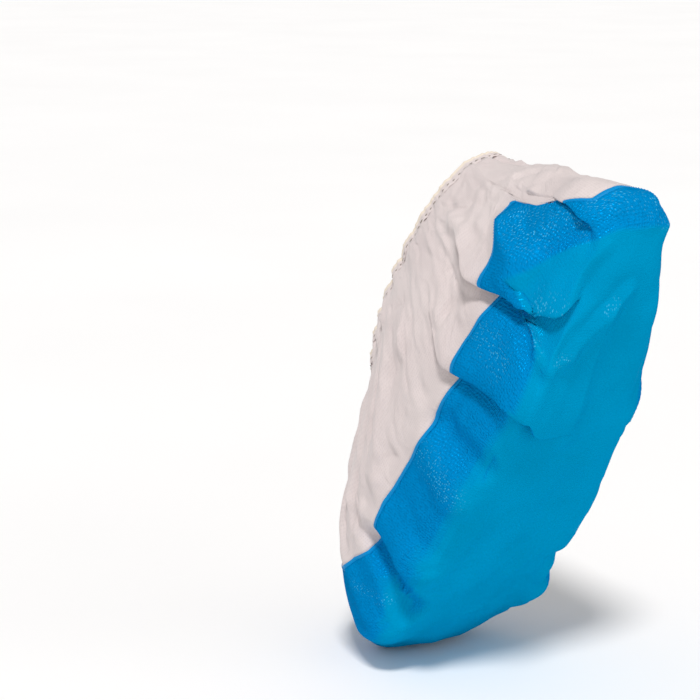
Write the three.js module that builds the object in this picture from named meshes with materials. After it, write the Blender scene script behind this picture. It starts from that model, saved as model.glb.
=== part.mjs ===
// Disposable shoe cover, kept in the form it has on a shoe whose heel is raised:
// the toes lie flat, the sole rises steeply behind them, and the ankle opening
// faces back over the instep. Units are millimetres, +Z is up, the toes point
// along -X and the heel is the highest end.
//
// The whole cover is one skin, cut into bands. A point of the skin has two
// coordinates:
//   round   0 to 1 along a level line of the cover: 0 at the toe, 0.25 on the
//           -Y side, 0.5 at the heel and 0.75 on the +Y side;
//   girth   distance up the wall from the sole's edge, square to the sole. It is
//           negative on the sole, down to -SOLE_REACH on the sole's centre line.

import * as THREE from 'three';

// ---- driving dimensions -------------------------------------------------

const WALL = 1.6; // thickness of the film and of the cloth
const GAP = 0.3; // clear space between neighbouring pieces
const RIM_GIRTH = 124; // the opening's hem, above the sole
const SEAM_WIDTH = 3; // the weld between film and cloth
const SEAM_CLEARANCE = 1.1; // beside the weld, where its edges run slantwise
const ELASTIC_WIDTH = 6; // the hem that holds the elastic
const ELASTIC_WALL = 2.2;
const SOLE_REACH = 60; // girth units from the sole's edge to its centre line
const SOLE_END_RADIUS = 32; // the centre line stops this far from the sole's ends
const LEVEL_LENGTH = 800; // mean length of a level line, to measure folds by

const PLAIN_COLUMNS = 96; // even columns round the cover
const FILM_SOLE_ROWS = [0.12, 0.35, 0.6, 0.83, 1]; // shares of the way from the centre line
const FILM_EDGE_ROWS = [0.4, 1]; // shares of the way from the sole's edge to the crease
const FILM_WALL_ROWS = [0.35, 0.7, 1]; // shares of the way from the crease to the seam
const CLOTH_ROWS = 7;

const GATHERS = 24; // pleats that the elastic draws up round the hem
const GATHER_HEIGHT = 2.6;
const GATHER_START = 70; // girth where the gathers begin

const TOE_WELD_HEIGHT = 3; // the pressed edge that stands out at the toe
const TOE_WELD_WALL = 1.2;
const TOE_WELD_CLEARANCE = 0.9; // over the film, which bends between its own points
const TOE_WELD_FOOT = 6; // girth of its lower end
const TOE_WELD_STEPS = 10;

// Tilt of the sole and lean of the walls along the sole.
const SOLE_LINE = [
  // station, sole tilt deg
  [-60, 0], [0, 3], [45, 14], [70, 37], [93, 52], [120, 55.5],
  [185, 58.5], [250, 64], [305, 66.5], [350, 71], [410, 78],
];
const WALL_LEAN = [
  // station, wall lean deg
  [-60, 6], [0, 10.5], [56, 26], [102, 45], [140, 57], [205, 64], [280, 66], [350, 69], [410, 72],
];

// Level lines of the unfolded cover, one row for each girth. Widest, toe and
// heel are stations; toeSquare and heelSquare are superellipse powers.
const LEVELS = [
  { girth: 0, widest: 104, toe: 24, heel: 345, half: 50, toeSquare: 2.7, heelSquare: 3.2, heelWidth: 0.8 },
  { girth: 4, widest: 110, toe: 15, heel: 357, half: 59.5, toeSquare: 2.7, heelSquare: 3.2, heelWidth: 0.76 },
  { girth: 13, widest: 114, toe: 10, heel: 367, half: 62, toeSquare: 2.7, heelSquare: 3.2, heelWidth: 0.74 },
  { girth: 28, widest: 118, toe: 8, heel: 370, half: 64, toeSquare: 2.7, heelSquare: 3, heelWidth: 0.75 },
  { girth: 46, widest: 122, toe: 7, heel: 364, half: 66, toeSquare: 2.5, heelSquare: 2.8, heelWidth: 0.75 },
  { girth: 63, widest: 138, toe: 30, heel: 358, half: 67, toeSquare: 2.3, heelSquare: 2.5, heelWidth: 0.76 },
  { girth: 79, widest: 180, toe: 72, heel: 353, half: 64, toeSquare: 2.1, heelSquare: 2.3, heelWidth: 0.8 },
  { girth: 95, widest: 220, toe: 115, heel: 345, half: 58, toeSquare: 2, heelSquare: 2.1, heelWidth: 0.85 },
  { girth: 110, widest: 238, toe: 144, heel: 339, half: 50, toeSquare: 2, heelSquare: 2, heelWidth: 0.92 },
  { girth: 124, widest: 246, toe: 156, heel: 336, half: 42, toeSquare: 2, heelSquare: 2, heelWidth: 1 },
];

// Girth of the weld between film and cloth. It steps up across each pleat.
const SEAM_LINE = [
  // round, girth
  [0, 46], [0.09, 47], [0.12, 46.5], [0.143, 44], [0.163, 38], [0.175, 38.5], [0.2, 41],
  [0.218, 43], [0.256, 42.5], [0.283, 41], [0.302, 43], [0.3285, 39], [0.335, 42.5],
  [0.364, 44.4], [0.386, 42], [0.393, 49], [0.415, 51], [0.431, 53], [0.438, 61],
  [0.4465, 63], [0.4528, 54], [0.4565, 46], [0.4603, 38], [0.4631, 32.5], [0.4649, 31],
  [0.469, 30], [0.475, 25], [0.483, 18.5], [0.503, 19.5], [0.511, 18.5], [0.52, 13],
  [0.53, 11], [0.548, 22], [0.57, 37], [0.6, 43], [0.68, 42], [0.8, 41], [0.9, 45], [1, 46],
];

// Where the heel is folded flat, the sole's edge is cut off: the cut runs straight from a
// girth on the wall to a reach in from the edge on the sole.
const HEEL_CUT = [
  // round, girth, reach
  [0, 0, 0], [0.35, 0, 0], [0.387, 4.6, 0], [0.3945, 19, 0], [0.4, 27, 0], [0.408, 35, 0.5],
  [0.414, 32, 1], [0.421, 27, 3], [0.436, 20, 12], [0.448, 13.5, 19], [0.466, 6.5, 20],
  [0.481, 4.5, 17], [0.5, 3.5, 16], [0.521, 4.5, 14], [0.535, 8, 14], [0.56, 9, 14],
  [0.6, 7, 12], [0.64, 3, 8], [0.665, 0, 0], [1, 0, 0],
];
const CREASE_FLOOR = 5; // least girth of the mesh line along the cut's crease
const CREASE_CEILING = 0.7; // the most of the film's height that the line may take

// Pleats, where a layer on the heel side lies over the layer on the toe side.
// path is [girth, round] of the lip's edge; strength is [girth, share].
const PLEATS = [
  {
    name: 'middle pleat',
    path: [[-59, 0.316], [-49.7, 0.318], [-13.6, 0.333], [-1.5, 0.346], [8, 0.342], [22.5, 0.337],
      [38.5, 0.335], [46, 0.336]],
    strength: [[-60, 0], [-35, 0.7], [-12, 1], [48, 1], [64, 0.5], [80, 0]],
    overhang: 1, rise: 7, runUp: 42,
  },
  {
    name: 'upper pleat',
    path: [[-6, 0.43], [-3, 0.428], [0, 0.426], [3, 0.421], [6, 0.417], [9, 0.4145],
      [12, 0.412], [14, 0.41], [16, 0.4062], [18, 0.4], [20, 0.3957], [24, 0.3948],
      [28, 0.396], [38, 0.397], [57, 0.396]],
    strength: [[-7, 0], [-3, 0.45], [1, 0.85], [14, 0.9], [22, 1], [58, 1], [74, 0.5], [90, 0]],
    overhang: 1, rise: 7.5, runUp: 36,
  },
  {
    name: 'heel pleat',
    path: [[6, 0.4615], [13, 0.462], [30, 0.464], [60, 0.464]],
    strength: [[6, 0], [13, 0.5], [20, 1], [32, 1], [46, 0]],
    overhang: 1, rise: 6, runUp: 30,
  },
];
const PLEAT_RETURN = 6; // length of skin from the lower layer's end up to the lip's edge
const PLEAT_POCKET = 1; // how far short of the lip's path the lower layer ends
const PLEAT_NOSE = 0.7; // half the length of skin that turns at the lip's edge
const PLEAT_TURN = 0.4; // how far round the turn at the lip's edge reaches
const PLEAT_SHOULDER = 4; // length of skin from the lip to the end of its level top
const PLEAT_TAKEN = 0.5; // how much of that length the lip's curve takes up
const PLEAT_FADE = 14; // length of skin in which the lower layer evens out
const PLEAT_COLUMNS = [-20, -14, -9, -PLEAT_RETURN, -3, -PLEAT_NOSE, PLEAT_NOSE, 4, 9, 15, 21];
const PLEAT_COLUMN_REACH = 22;
const PLEAT_HOLD = 8; // columns this near to a lip keep their distance from it
const PLEATED_FROM = 0.26; // the pleats' columns swing between these two rounds
const PLEATED_TO = 0.54;
const SEAM_SLOPE_REACH = 0.003; // round to each side, to measure the seam's slope
const PLAIN_ROUND_REACH = 0.002; // round to each side, to measure the unfolded direction
const PLAIN_GIRTH_REACH = 0.8; // girth to each side, to measure the unfolded direction
const NORMAL_REACH = 1; // girth to each side, to measure the skin's direction

// Ridges (height above 0) and valleys (below 0) along lines over the skin. A crisp one has
// straight flanks, and the others are soft.
const FOLDS = [
  { name: 'toe valley', line: [[0.178, 40], [0.167, 19.5], [0.156, 9], [0.142, -4]], height: -8, width: 14 },
  { name: 'bulge behind it', line: [[0.204, 34], [0.186, 4]], height: 4, width: 20 },
  { name: 'toe bulge', line: [[0.125, 42], [0.118, 18], [0.115, 4]], height: 4, width: 16 },
  { name: 'far toe valley', line: [[0.826, 38], [0.852, 0]], height: -6, width: 15 },
  {
    name: 'near lobe ridge', line: [[0.437, 60], [0.427, 48], [0.412, 38]],
    height: 5, width: 12, crisp: true,
  },
  { name: 'near lobe dome', line: [[0.44, 50], [0.436, 34]], height: 5, width: 24 },
  { name: 'valley behind it', line: [[0.441, 25], [0.452, 17], [0.461, 10]], height: -4, width: 9 },
  { name: 'hollow under the upper lip', line: [[0.388, 46], [0.386, 24], [0.388, 12]], height: -4, width: 15 },
  { name: 'hollow under the middle lip', line: [[0.327, 40], [0.327, 14]], height: -3, width: 15 },
  { name: 'far lobe', line: [[0.492, 15], [0.512, 12]], height: 3.5, width: 13 },
  { name: 'far corner', line: [[0.531, 7], [0.545, 16]], height: 2, width: 8, crisp: true },
  { name: 'flat back of the heel', line: [[0.507, 50], [0.512, 36]], height: -4.2, width: 24 },
  { name: 'side dent', line: [[0.297, 38], [0.293, 28], [0.291, 4]], height: -4, width: 14 },
  { name: 'side bulge', line: [[0.278, 39], [0.256, 8]], height: 3, width: 16 },
  { name: 'back ridge', line: [[0.406, 96], [0.405, 60]], height: 4, width: 12 },
  { name: 'back hollow', line: [[0.376, 84], [0.366, 50]], height: -3, width: 14 },
  { name: 'instep fold', line: [[0.27, 104], [0.22, 52]], height: 3, width: 14 },
  { name: 'instep hollow', line: [[0.21, 100], [0.17, 56]], height: -3.5, width: 14 },
  { name: 'vamp fold', line: [[0.13, 100], [0.12, 56]], height: 3.5, width: 12 },
  { name: 'far instep fold', line: [[0.76, 104], [0.79, 52]], height: 3.5, width: 16 },
  { name: 'far back fold', line: [[0.62, 104], [0.62, 56]], height: 3.5, width: 16 },
  { name: 'far edge by the heel', line: [[0.552, 9], [0.59, 6]], height: -4.5, width: 18 },
  { name: 'far edge behind the arch', line: [[0.6, 4], [0.625, 3]], height: -2.5, width: 20 },
  { name: 'far edge at the arch', line: [[0.655, 3], [0.675, 2]], height: -1, width: 18 },
];
// The same on the sole, along lines of [station, side].
const SOLE_FOLDS = [
  { name: 'ball of the toes', line: [[30, -20], [44, -6], [40, 18]], height: 7.5, width: 32 },
  { name: 'long hollow', line: [[240, 6], [150, 12]], height: -1.5, width: 26 },
  { name: 'long ridge', line: [[300, 26], [210, 18]], height: 1.5, width: 20 },
];
const SOLE_FOLD_FADE = 10; // girth in which a fold of the sole dies out up the wall
const WALL_FOLD_FADE = 30; // girth in which a fold of the wall dies out over the sole

// ---- small mathematics --------------------------------------------------

const clamp = (value, low, high) => Math.min(high, Math.max(low, value));
const radians = THREE.MathUtils.degToRad;
const smooth = (value) => THREE.MathUtils.smoothstep(value, 0, 1);

/** Straight-line interpolation in a table of [x, y] rows. */
function along(table, x) {
  if (x <= table[0][0]) return table[0][1];
  for (let row = 1; row < table.length; row += 1) {
    const [x1, y1] = table[row];
    if (x <= x1) {
      const [x0, y0] = table[row - 1];
      return y0 + ((y1 - y0) * (x - x0)) / (x1 - x0);
    }
  }
  return table[table.length - 1][1];
}

/** A smooth curve through a table of [x, y] rows that never overshoots them. */
function smoothCurve(table) {
  const last = table.length - 1;
  const rise = [];
  for (let row = 0; row < last; row += 1) {
    rise.push((table[row + 1][1] - table[row][1]) / (table[row + 1][0] - table[row][0]));
  }
  const slope = table.map((_, row) => {
    if (row === 0) return rise[0];
    if (row === last) return rise[last - 1];
    const [before, after] = [rise[row - 1], rise[row]];
    return before * after <= 0 ? 0 : (2 * before * after) / (before + after);
  });
  return (x) => {
    const at = clamp(x, table[0][0], table[last][0]);
    let row = 0;
    while (row < last - 1 && at > table[row + 1][0]) row += 1;
    const span = table[row + 1][0] - table[row][0];
    const t = (at - table[row][0]) / span;
    const [t2, t3] = [t * t, t * t * t];
    return (
      (2 * t3 - 3 * t2 + 1) * table[row][1] +
      (t3 - 2 * t2 + t) * span * slope[row] +
      (3 * t2 - 2 * t3) * table[row + 1][1] +
      (t3 - t2) * span * slope[row + 1]
    );
  };
}

// ---- the unfolded cover -------------------------------------------------

const STATION_STEP = 2;
const FIRST_STATION = SOLE_LINE[0][0];
const LAST_STATION = SOLE_LINE[SOLE_LINE.length - 1][0];
const soleTilt = smoothCurve(SOLE_LINE);
const wallLean = smoothCurve(WALL_LEAN);

/** The sole's centre line: its [station, x] and [station, z] tables. */
function walkSole() {
  const xs = [[FIRST_STATION, 0]];
  const zs = [[FIRST_STATION, 0]];
  for (let station = FIRST_STATION; station < LAST_STATION; station += STATION_STEP) {
    const tilt = radians(soleTilt(station + STATION_STEP / 2));
    const [x, z] = [xs[xs.length - 1][1], zs[zs.length - 1][1]];
    xs.push([station + STATION_STEP, x + Math.cos(tilt) * STATION_STEP]);
    zs.push([station + STATION_STEP, z + Math.sin(tilt) * STATION_STEP]);
  }
  return { xs, zs };
}
const sole = walkSole();

/** Place a point given by its station, its side offset and its height over the sole. */
function place(station, side, height) {
  const lean = radians(wallLean(station));
  return new THREE.Vector3(
    along(sole.xs, station) - height * Math.sin(lean),
    side,
    along(sole.zs, station) + height * Math.cos(lean),
  );
}

const level = {};
for (const key of ['widest', 'toe', 'heel', 'half', 'toeSquare', 'heelSquare', 'heelWidth']) {
  level[key] = smoothCurve(LEVELS.map((row) => [row.girth, row[key]]));
}

const LINE_STEPS = 720; // points on a level line before they are spaced evenly

/** One level line, as points evenly spaced along it: [station, side]. */
function levelLine(girth, count) {
  const fine = [];
  const steps = LINE_STEPS;
  for (let step = 0; step <= steps; step += 1) {
    const turn = (2 * Math.PI * step) / steps;
    const [c, s] = [Math.cos(turn), Math.sin(turn)];
    const toeSide = c > 0;
    const widest = level.widest(girth);
    const reach = toeSide ? widest - level.toe(girth) : level.heel(girth) - widest;
    const power = 2 / (toeSide ? level.toeSquare(girth) : level.heelSquare(girth));
    const station = widest - Math.sign(c) * reach * Math.abs(c) ** power;
    const narrowing = toeSide ? 0 : ((station - widest) / reach) * (level.heelWidth(girth) - 1);
    const side = -Math.sign(s) * level.half(girth) * (1 + narrowing) * Math.abs(s) ** power;
    const before = fine[fine.length - 1];
    const run = before ? before.run + Math.hypot(station - before.station, side - before.side) : 0;
    fine.push({ station, side, run });
  }
  const total = fine[steps].run;
  const line = [];
  let at = 0;
  for (let index = 0; index <= count; index += 1) {
    const wanted = (total * index) / count;
    while (at < steps - 1 && fine[at + 1].run < wanted) at += 1;
    const [p, q] = [fine[at], fine[at + 1]];
    const t = clamp((wanted - p.run) / (q.run - p.run), 0, 1);
    line.push([p.station + (q.station - p.station) * t, p.side + (q.side - p.side) * t]);
  }
  return line;
}

const LINE_COUNT = 480; // stored points round a level line
const GIRTH_STEP = 2; // girth between stored level lines
const levelLines = [];
for (let girth = 0; girth <= RIM_GIRTH + GIRTH_STEP; girth += GIRTH_STEP) {
  levelLines.push(levelLine(Math.min(girth, RIM_GIRTH), LINE_COUNT));
}

/** [station, side] on a level line at a place round it, between the stored lines. */
function onLevel(round, girth) {
  const turn = (((round % 1) + 1) % 1) * LINE_COUNT;
  const column = Math.floor(turn);
  const row = clamp(Math.floor(girth / GIRTH_STEP), 0, levelLines.length - 2);
  const [s, t] = [turn - column, clamp(girth / GIRTH_STEP - row, 0, 1)];
  const mix = (axis) => {
    const low = levelLines[row];
    const high = levelLines[row + 1];
    const a = low[column][axis] * (1 - s) + low[column + 1][axis] * s;
    const b = high[column][axis] * (1 - s) + high[column + 1][axis] * s;
    return a * (1 - t) + b * t;
  };
  return [mix(0), mix(1)];
}

const soleStart = LEVELS[0].toe + SOLE_END_RADIUS;
const soleEnd = LEVELS[0].heel - SOLE_END_RADIUS;

/** [station, side] of a point, which on the sole lies between its edge and its middle. */
function soleSpot(round, girth) {
  const [station, side] = onLevel(round, Math.max(girth, 0));
  const share = 1 + Math.min(girth, 0) / SOLE_REACH;
  const middle = clamp(station, soleStart, soleEnd);
  return [middle + (station - middle) * share, side * share];
}

/** A point of the cover before its heel is folded flat. */
function squareSkin(round, girth) {
  const [station, side] = soleSpot(round, girth);
  return place(station, side, Math.max(girth, 0));
}

const cutGirth = smoothCurve(HEEL_CUT.map(([round, girth]) => [round, girth]));
const cutReach = smoothCurve(HEEL_CUT.map(([round, , reach]) => [round, reach]));

/** A point of the unfolded cover, with the sole's edge cut off along the heel. */
function plainSkin(round, girth) {
  const turn = ((round % 1) + 1) % 1;
  const [top, reach] = [cutGirth(turn), cutReach(turn)];
  if (girth <= -reach || girth >= top) return squareSkin(round, girth);
  const low = squareSkin(round, -reach);
  return low.lerp(squareSkin(round, top), (girth + reach) / (top + reach));
}

/** The unfolded cover's outward direction. */
function plainNormal(round, girth) {
  const at = Math.max(girth, 1 - SOLE_REACH);
  const [ahead, behind] = [round + PLAIN_ROUND_REACH, round - PLAIN_ROUND_REACH];
  const alongRound = plainSkin(ahead, at).sub(plainSkin(behind, at));
  const [above, below] = [at + PLAIN_GIRTH_REACH, at - PLAIN_GIRTH_REACH];
  const alongGirth = plainSkin(round, above).sub(plainSkin(round, below));
  return alongRound.cross(alongGirth).normalize();
}

// ---- folds --------------------------------------------------------------

/** How a pleat moves the skin: [along its level line, outward], in mm. */
function pleatShift(pleat, round, girth) {
  const strength = along(pleat.strength, girth);
  const run = (round - along(pleat.path, girth)) * LEVEL_LENGTH;
  if (strength === 0 || run <= -PLEAT_FADE || run >= pleat.runUp) return [0, 0];
  const profile = [
    // run, place, height: the lower layer, the turn at the lip, the upper layer
    [-PLEAT_FADE, -PLEAT_FADE, 0],
    [-PLEAT_RETURN, -PLEAT_POCKET, 0.05 * pleat.rise],
    [-PLEAT_NOSE, -pleat.overhang, 0.78 * pleat.rise],
    [PLEAT_NOSE, PLEAT_TURN - pleat.overhang, pleat.rise],
    [PLEAT_SHOULDER, PLEAT_SHOULDER - PLEAT_TAKEN - pleat.overhang, pleat.rise],
    [0.4 * pleat.runUp, 0.32 * pleat.runUp, 0.62 * pleat.rise], // the long slope back down
    [pleat.runUp, pleat.runUp, 0],
  ];
  const placed = along(profile.map(([x, y]) => [x, y]), run);
  const height = along(profile.map(([x, , z]) => [x, z]), run);
  return [(placed - run) * strength, height * strength];
}

/** How far a ridge or valley along a line lifts a point of the same plane, in mm. */
function ridge({ line, height, width, crisp }, x, y) {
  let off = Infinity;
  for (let index = 1; index < line.length; index += 1) {
    const [x0, y0] = line[index - 1];
    const [dx, dy] = [line[index][0] - x0, line[index][1] - y0];
    const share = clamp(((x - x0) * dx + (y - y0) * dy) / (dx * dx + dy * dy), 0, 1);
    off = Math.min(off, Math.hypot(x - x0 - share * dx, y - y0 - share * dy));
  }
  const flank = Math.max(0, 1 - off / width);
  return height * (crisp ? flank : smooth(flank));
}

const wallFolds = FOLDS.map((fold) => ({
  ...fold,
  line: fold.line.map(([round, girth]) => [round * LEVEL_LENGTH, girth]),
}));

/** How far the ridges and valleys of wall and sole lift the skin. */
function foldLift(round, girth) {
  const onWall = smooth(1 + girth / WALL_FOLD_FADE);
  const onSole = smooth(1 - girth / SOLE_FOLD_FADE);
  const [station, side] = soleSpot(round, girth);
  let lift = 0;
  for (const fold of wallFolds) lift += onWall * ridge(fold, round * LEVEL_LENGTH, girth);
  for (const fold of SOLE_FOLDS) lift += onSole * ridge(fold, station, side);
  return lift;
}

/** The gathers that the elastic draws up under the hem. */
function gatherLift(round, girth) {
  const share = clamp((girth - GATHER_START) / (RIM_GIRTH - GATHER_START), 0, 1);
  const uneven = 0.6 + 0.4 * Math.cos(2 * Math.PI * round); // fullest over the instep
  return GATHER_HEIGHT * share * uneven * Math.cos(2 * Math.PI * GATHERS * round);
}

/** A point of the folded cover. */
function skin(round, girth) {
  let shift = 0;
  let lift = gatherLift(round, girth) + foldLift(round, girth);
  for (const pleat of PLEATS) {
    const [sideways, outward] = pleatShift(pleat, round, girth);
    shift += sideways;
    lift += outward;
  }
  const placed = round + shift / LEVEL_LENGTH;
  return plainSkin(placed, girth).addScaledVector(plainNormal(placed, girth), lift);
}

// ---- columns and pieces -------------------------------------------------

const pleatHome = (pleat) => pleat.path[pleat.path.length - 1][1];

/** The columns' rounds: even ones, and closer ones across each pleat. */
function makeColumns() {
  const rounds = [];
  const reach = PLEAT_COLUMN_REACH / LEVEL_LENGTH;
  for (let index = 0; index < PLAIN_COLUMNS; index += 1) {
    const round = index / PLAIN_COLUMNS;
    if (PLEATS.every((pleat) => Math.abs(round - pleatHome(pleat)) > reach)) rounds.push(round);
  }
  for (const pleat of PLEATS) {
    for (const run of PLEAT_COLUMNS) rounds.push(pleatHome(pleat) + run / LEVEL_LENGTH);
  }
  return rounds.sort((a, b) => a - b);
}
const columns = makeColumns();

/** Where a column crosses a girth: the columns near a pleat follow its path. */
function columnRound(round, girth) {
  const hold = PLEAT_HOLD / LEVEL_LENGTH;
  const knots = [[PLEATED_FROM, 0]];
  for (const pleat of PLEATS) {
    const home = pleatHome(pleat);
    const offset = along(pleat.path, girth) - home;
    knots.push([home - hold, offset], [home + hold, offset]);
  }
  knots.push([PLEATED_TO, 0]);
  return round + along(knots, round);
}

/** Rows of skin points and their outward directions, one row for each girth function. */
function skinGrid(rows) {
  const count = columns.length;
  const points = [];
  const normals = [];
  for (const girthAt of rows) {
    const girths = columns.map(girthAt);
    const line = columns.map((column, index) =>
      skin(columnRound(column, girths[index]), girths[index]),
    );
    line.forEach((point, index) => {
      const round = columnRound(columns[index], girths[index]);
      const above = skin(round, girths[index] + NORMAL_REACH);
      const below = skin(round, girths[index] - NORMAL_REACH);
      const across = line[(index + 1) % count].clone().sub(line[(index + count - 1) % count]);
      points.push(point);
      normals.push(across.cross(above.sub(below)).normalize());
    });
  }
  return { points, normals, faces: ringFaces(rows.length - 1) };
}

/** A ring of skin between two edges, as an open surface. */
function ring(lowEdge, highEdge, steps) {
  const rows = [];
  for (let step = 0; step <= steps; step += 1) {
    rows.push((round) => lowEdge(round) + ((highEdge(round) - lowEdge(round)) * step) / steps);
  }
  return skinGrid(rows);
}

/** Faces of a grid that closes round, with steps + 1 rows of points. */
function ringFaces(steps) {
  const faces = [];
  const count = columns.length;
  for (let row = 0; row < steps; row += 1) {
    for (let column = 0; column < count; column += 1) {
      const next = (column + 1) % count;
      const [a, b] = [row * count + column, row * count + next];
      const [c, d] = [a + count, b + count];
      faces.push([a, b, d], [a, d, c]);
    }
  }
  return faces;
}

/** The film: the sole and the wall up to the seam, closed along the sole's middle. */
function filmSurface() {
  const rows = [
    ...FILM_SOLE_ROWS.map((share) => () => -SOLE_REACH * (1 - share)),
    ...FILM_EDGE_ROWS.map((share) => (round) => share * creaseLine(round)),
    ...FILM_WALL_ROWS.map((share) => (round) => {
      const crease = creaseLine(round);
      return crease + share * (filmEdge(round) - crease);
    }),
  ];
  const grid = skinGrid(rows);
  grid.faces.push(...middleFaces());
  return grid;
}

/** Girth of the mesh line that runs along the crease above the heel's cut. */
function creaseLine(round) {
  return Math.min(Math.max(cutGirth(round), CREASE_FLOOR), CREASE_CEILING * filmEdge(round));
}

/** Triangles that close the narrow slot along the sole's centre line. */
function middleFaces() {
  const faces = [];
  const heel = columns.findIndex((round) => round >= 0.5);
  const share = (index) => {
    const round = columns[index % columns.length];
    return Math.min(round, 1 - round);
  };
  let near = 0;
  let far = columns.length;
  while (near < heel || far > heel) {
    const nearNext = near < heel ? share(near + 1) : 2;
    const farNext = far > heel ? share(far - 1) : 2;
    const farIndex = far % columns.length;
    if (nearNext <= farNext) {
      if (near + 1 !== farIndex) faces.push([near, farIndex, near + 1]);
      near += 1;
    } else {
      if (far - 1 !== near) faces.push([near, farIndex, far - 1]);
      far -= 1;
    }
  }
  return faces.filter(([a, b, c]) => a !== b && b !== c && a !== c);
}

/** Give an open surface a wall of even thickness, closed along its edges. */
function thicken({ points, normals, faces }, thickness) {
  const positions = [];
  for (const side of [0.5, -0.5]) {
    points.forEach((point, index) => {
      const moved = point.clone().addScaledVector(normals[index], side * thickness);
      positions.push(moved.x, moved.y, moved.z);
    });
  }
  const count = points.length;
  const directed = new Set(faces.flatMap(([a, b, c]) => [`${a}-${b}`, `${b}-${c}`, `${c}-${a}`]));
  const triangles = [];
  for (const [a, b, c] of faces) {
    triangles.push(a, b, c, a + count, c + count, b + count);
    for (const [p, q] of [[a, b], [b, c], [c, a]]) {
      if (!directed.has(`${q}-${p}`)) triangles.push(q, p, p + count, q, p + count, q + count);
    }
  }
  const geometry = new THREE.BufferGeometry();
  geometry.setAttribute('position', new THREE.Float32BufferAttribute(positions, 3));
  geometry.setIndex(triangles);
  geometry.computeVertexNormals();
  return geometry;
}

const seamGirth = (round) => along(SEAM_LINE, round);
const elasticLow = () => RIM_GIRTH - ELASTIC_WIDTH;

/** A line beside the seam, at a distance measured square to its steepest part nearby. */
function besideSeam(distance) {
  return (round) => {
    const here = seamGirth(round);
    const climbs = [-1, 1].map((side) => seamGirth(round + side * SEAM_SLOPE_REACH) - here);
    const climb = Math.max(...climbs.map(Math.abs));
    return here + distance * Math.hypot(1, climb / (SEAM_SLOPE_REACH * LEVEL_LENGTH));
  };
}
const filmEdge = besideSeam(-SEAM_WIDTH / 2 - SEAM_CLEARANCE);
const seamLow = besideSeam(-SEAM_WIDTH / 2);
const seamHigh = besideSeam(SEAM_WIDTH / 2);
const clothEdge = besideSeam(SEAM_WIDTH / 2 + SEAM_CLEARANCE);

/** The pressed edge that stands out of the film along the toe. */
function toeWeldGeometry() {
  const stand = WALL / 2 + TOE_WELD_CLEARANCE;
  const lowest = TOE_WELD_FOOT;
  const highest = seamGirth(0) - SEAM_WIDTH;
  const points = [];
  const normals = [];
  for (let step = 0; step <= TOE_WELD_STEPS; step += 1) {
    const girth = lowest + ((highest - lowest) * step) / TOE_WELD_STEPS;
    const foot = skin(0, girth);
    const ahead = skin(0, girth + NORMAL_REACH).sub(skin(0, girth - NORMAL_REACH));
    const outward = new THREE.Vector3(-ahead.z, 0, ahead.x).normalize();
    for (const height of [stand, stand + TOE_WELD_HEIGHT]) {
      points.push(foot.clone().addScaledVector(outward, height));
      normals.push(new THREE.Vector3(0, 1, 0));
    }
  }
  const faces = [];
  for (let step = 0; step < TOE_WELD_STEPS; step += 1) {
    const a = step * 2;
    faces.push([a, a + 1, a + 3], [a, a + 3, a + 2]);
  }
  return thicken({ points, normals, faces }, TOE_WELD_WALL);
}

// ---- materials and the model --------------------------------------------

const film = new THREE.MeshStandardMaterial({ color: '#0a86c6', roughness: 0.38, metalness: 0 });
const cloth = new THREE.MeshStandardMaterial({ color: '#e4dad8', roughness: 0.9, metalness: 0 });
const weld = new THREE.MeshStandardMaterial({ color: '#b9d3e4', roughness: 0.6, metalness: 0 });
const hem = new THREE.MeshStandardMaterial({ color: '#e2d8c8', roughness: 0.9, metalness: 0 });

function piece(name, geometry, material) {
  const mesh = new THREE.Mesh(geometry, material);
  mesh.name = name;
  return mesh;
}

/** Centre of the hem: the part's origin. */
function openingCentre() {
  const centre = new THREE.Vector3();
  const count = 64;
  for (let index = 0; index < count; index += 1) {
    centre.addScaledVector(plainSkin(index / count, RIM_GIRTH), 1 / count);
  }
  return centre;
}

const shoeCover = new THREE.Group();
shoeCover.name = 'shoe_cover';
shoeCover.add(
  piece('sole_film', thicken(filmSurface(), WALL), film),
  piece('side_seam', thicken(ring(seamLow, seamHigh, 1), WALL), weld),
  piece(
    'upper_cloth',
    thicken(ring(clothEdge, () => elasticLow() - GAP, CLOTH_ROWS), WALL),
    cloth,
  ),
  piece('ankle_elastic', thicken(ring(elasticLow, () => RIM_GIRTH, 1), ELASTIC_WALL), hem),
  piece('toe_weld', toeWeldGeometry(), film),
);
shoeCover.position.copy(openingCentre()).negate();

export default shoeCover;
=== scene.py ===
"""Disposable shoe cover in its worn form: film sole, nonwoven upper, gathered hem."""

import math

import bpy
import numpy as np
from bpy.props import FloatProperty, FloatVectorProperty, IntProperty, PointerProperty
from mathutils import Matrix, Vector, noise


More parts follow.
